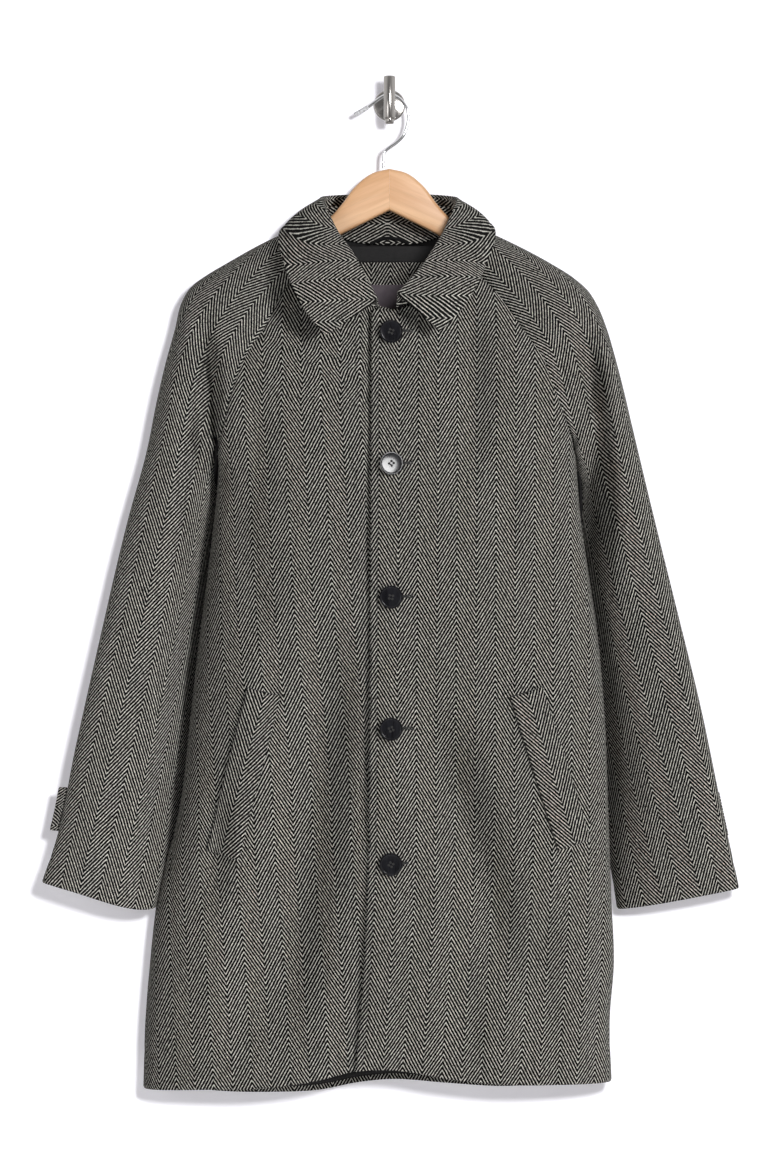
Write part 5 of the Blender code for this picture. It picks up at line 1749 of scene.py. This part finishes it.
# What the left light lifts: the sleeve on that side, and the collar.
LEFT_LIT = (
    "sleeve_front_right_cloth", "sleeve_back_right_cloth", "cuff_tab_right_cloth", "collar_fall_cloth",
)
# Half width of the stage, heights of the floor and the wall's top, and the gap behind the wall plate.
STAGE_REACH = 5.0
FLOOR_Z = -1.9
WALL_TOP = 3.0
WALL_Y = 0.001
# The photograph's camera: place, focal length and height of the picture in pixels, and film width in mm.
CAMERA_AT = (0.0006, -3.6, -0.5684)
FOCAL = 3034
PICTURE = 1170
FILM = 36
AIM = (0.0, -0.06, -0.60)  # what the lamps point at
# Sky light against the way to the wall: from and to, then the strength at each; then the same for shine.
SKY_LIGHT = (-0.05, 0.8, 0.08, 0.95)
SKY_SHINE = (-1.0, -0.3, 0.15, 1.0)


class COAT_OT_stage(bpy.types.Operator):
    """Set up the floor, wall, lights and camera"""

    bl_idname = "coat.stage"
    bl_label = "Stage"

    def execute(self, context):
        scene = context.scene
        scene.view_settings.view_transform = "Standard"
        self.floor()
        self.wall()
        world = bpy.data.worlds.new("pale studio")
        world.use_nodes = True
        self.sky(world.node_tree)
        scene.world = world
        around = [scene.objects["wall"], scene.objects["floor"]]
        self.reach(self.lamp("wall light", (0.45, -2.9, -0.15), 0.3, 80.0), around, "INCLUDE")
        hard = [obj for obj in scene.objects if obj.type == "MESH" and obj.name.startswith(FRONT_LIT)]
        self.reach(self.lamp("front light", (0.92, -2.9, 0.35), 0.8, 58.0), hard, "INCLUDE")
        self.reach(self.lamp("side light", (7.4, -8.0, 2.2), 2.5, 900.0), around + hard, "EXCLUDE")
        self.lamp("fill light", (-1.5, -2.2, -0.4), 1.0, 8.0)
        pale = [obj for obj in scene.objects if obj.name in LEFT_LIT]
        self.reach(self.lamp("left light", (-2.0, -2.4, 0.3), 1.2, 13.0), pale, "INCLUDE")
        lens = bpy.data.cameras.new("photo camera")
        lens.lens = FOCAL / PICTURE * FILM
        lens.sensor_width = FILM
        lens.clip_end = 50
        camera = add_object("photo camera", lens)
        camera.location = CAMERA_AT
        camera.rotation_euler = (math.radians(90), 0, 0)
        scene.camera = camera
        return {"FINISHED"}

    def sky(self, tree):
        """Soft light from all round, brighter from the wall's side, white behind the coat."""
        ground = tree.nodes["Background"]
        ground.inputs["Color"].default_value = (1.0, 1.0, 1.0, 1.0)
        way = node(tree, "ShaderNodeTexCoord").outputs["Generated"]
        ahead = node(tree, "ShaderNodeSeparateXYZ", way).outputs[1]
        grade = node(tree, "ShaderNodeMapRange", ahead, *SKY_LIGHT).outputs[0]
        shine = node(tree, "ShaderNodeMapRange", ahead, *SKY_SHINE).outputs[0]
        ray = node(tree, "ShaderNodeLightPath").outputs
        gloss = node(tree, "ShaderNodeMath", ray["Is Glossy Ray"], shine, operation="MULTIPLY").outputs[0]
        both = node(tree, "ShaderNodeMath", gloss, grade, operation="MAXIMUM").outputs[0]
        white = node(tree, "ShaderNodeMath", ray["Is Camera Ray"], both, operation="MAXIMUM").outputs[0]
        put(tree, ground.inputs["Strength"], white)

    def plate(self, name, corners, look):
        """One flat face of the stage."""
        mesh = bpy.data.meshes.new(name)
        mesh.from_pydata(corners, [], [(0, 1, 2, 3)])
        mesh.materials.append(look)
        add_object(name, mesh)

    def wall(self):
        """A white wall that takes the coat's soft shadow and shows from the front alone."""
        look = bpy.data.materials.new("white wall")
        look.use_nodes = True
        tree = look.node_tree
        tree.nodes.clear()
        paint = node(tree, "ShaderNodeBsdfDiffuse", (0.89, 0.89, 0.93, 1.0)).outputs[0]
        glow = node(tree, "ShaderNodeEmission", (0.80, 0.76, 0.83, 1.0), 0.26).outputs[0]
        lit = node(tree, "ShaderNodeAddShader", paint, glow).outputs[0]
        clear = node(tree, "ShaderNodeBsdfTransparent").outputs[0]
        behind = node(tree, "ShaderNodeNewGeometry").outputs["Backfacing"]
        seen = node(tree, "ShaderNodeLightPath").outputs["Is Camera Ray"]
        shown = node(tree, "ShaderNodeMath", seen, behind, operation="SUBTRACT", use_clamp=True).outputs[0]
        node(
            tree, "ShaderNodeOutputMaterial",
            node(tree, "ShaderNodeMixShader", shown, clear, lit).outputs[0],
        )
        wide, low, high, y = STAGE_REACH, FLOOR_Z, WALL_TOP, WALL_Y
        self.plate("wall", [(-wide, y, low), (wide, y, low), (wide, y, high), (-wide, y, high)], look)

    def floor(self):
        make = NodeMaker("pale floor")
        cloud = make.noise(make.places(), 3.0, 3.0)
        paint = make.blend(cloud, 0.3, 0.7, (0.86, 0.86, 0.85), (0.90, 0.90, 0.89))
        look = make.finish(Base_Color=paint, Roughness=0.8)
        wide, z = STAGE_REACH, FLOOR_Z
        self.plate("floor", [(-wide, -wide, z), (wide, -wide, z), (wide, wide, z), (-wide, wide, z)], look)

    def lamp(self, name, place, size, power):
        light = bpy.data.lights.new(name, "AREA")
        light.shape = "DISK"
        light.size = size
        light.energy = power
        lamp = add_object(name, light)
        lamp.location = place
        way = Vector(AIM) - Vector(place)
        lamp.rotation_euler = way.to_track_quat("-Z", "Y").to_euler()
        return lamp

    def reach(self, lamp, objects, state):
        """Light only these objects, or all but these."""
        group = bpy.data.collections.new(lamp.name + " reach")
        for obj in objects:
            group.objects.link(obj)
        for item in group.collection_objects:
            item.light_linking.link_state = state
        lamp.light_linking.receiver_collection = group


class COAT_PT_panel(bpy.types.Panel):
    """Sidebar panel of the overcoat"""

    bl_idname = "COAT_PT_panel"
    bl_label = "Raglan Overcoat"
    bl_space_type = "VIEW_3D"
    bl_region_type = "UI"
    bl_category = "Overcoat"

    def draw(self, context):
        look = context.scene.coat_settings
        for name in CoatSettings.__annotations__:
            self.layout.prop(look, name)
        for operator in OPERATORS:
            self.layout.operator(operator.bl_idname)


OPERATORS = (
    COAT_OT_body,
    COAT_OT_collar,
    COAT_OT_welts,
    COAT_OT_inside,
    COAT_OT_buttons,
    COAT_OT_stitches,
    COAT_OT_hanger,
    COAT_OT_wall_hook,
    COAT_OT_stage,
)
CLASSES = (CoatSettings, *OPERATORS, COAT_PT_panel)


def register():
    for item in CLASSES:
        bpy.utils.register_class(item)
    bpy.types.Scene.coat_settings = PointerProperty(type=CoatSettings)


def unregister():
    del bpy.types.Scene.coat_settings
    for item in reversed(CLASSES):
        bpy.utils.unregister_class(item)


def main():
    register()
    bpy.ops.coat.body()
    bpy.ops.coat.collar()
    bpy.ops.coat.welts()
    bpy.ops.coat.inside()
    bpy.ops.coat.buttons()
    bpy.ops.coat.stitches()
    bpy.ops.coat.hanger()
    bpy.ops.coat.wall_hook()
    bpy.ops.coat.stage()


if __name__ == "__main__":
    main()
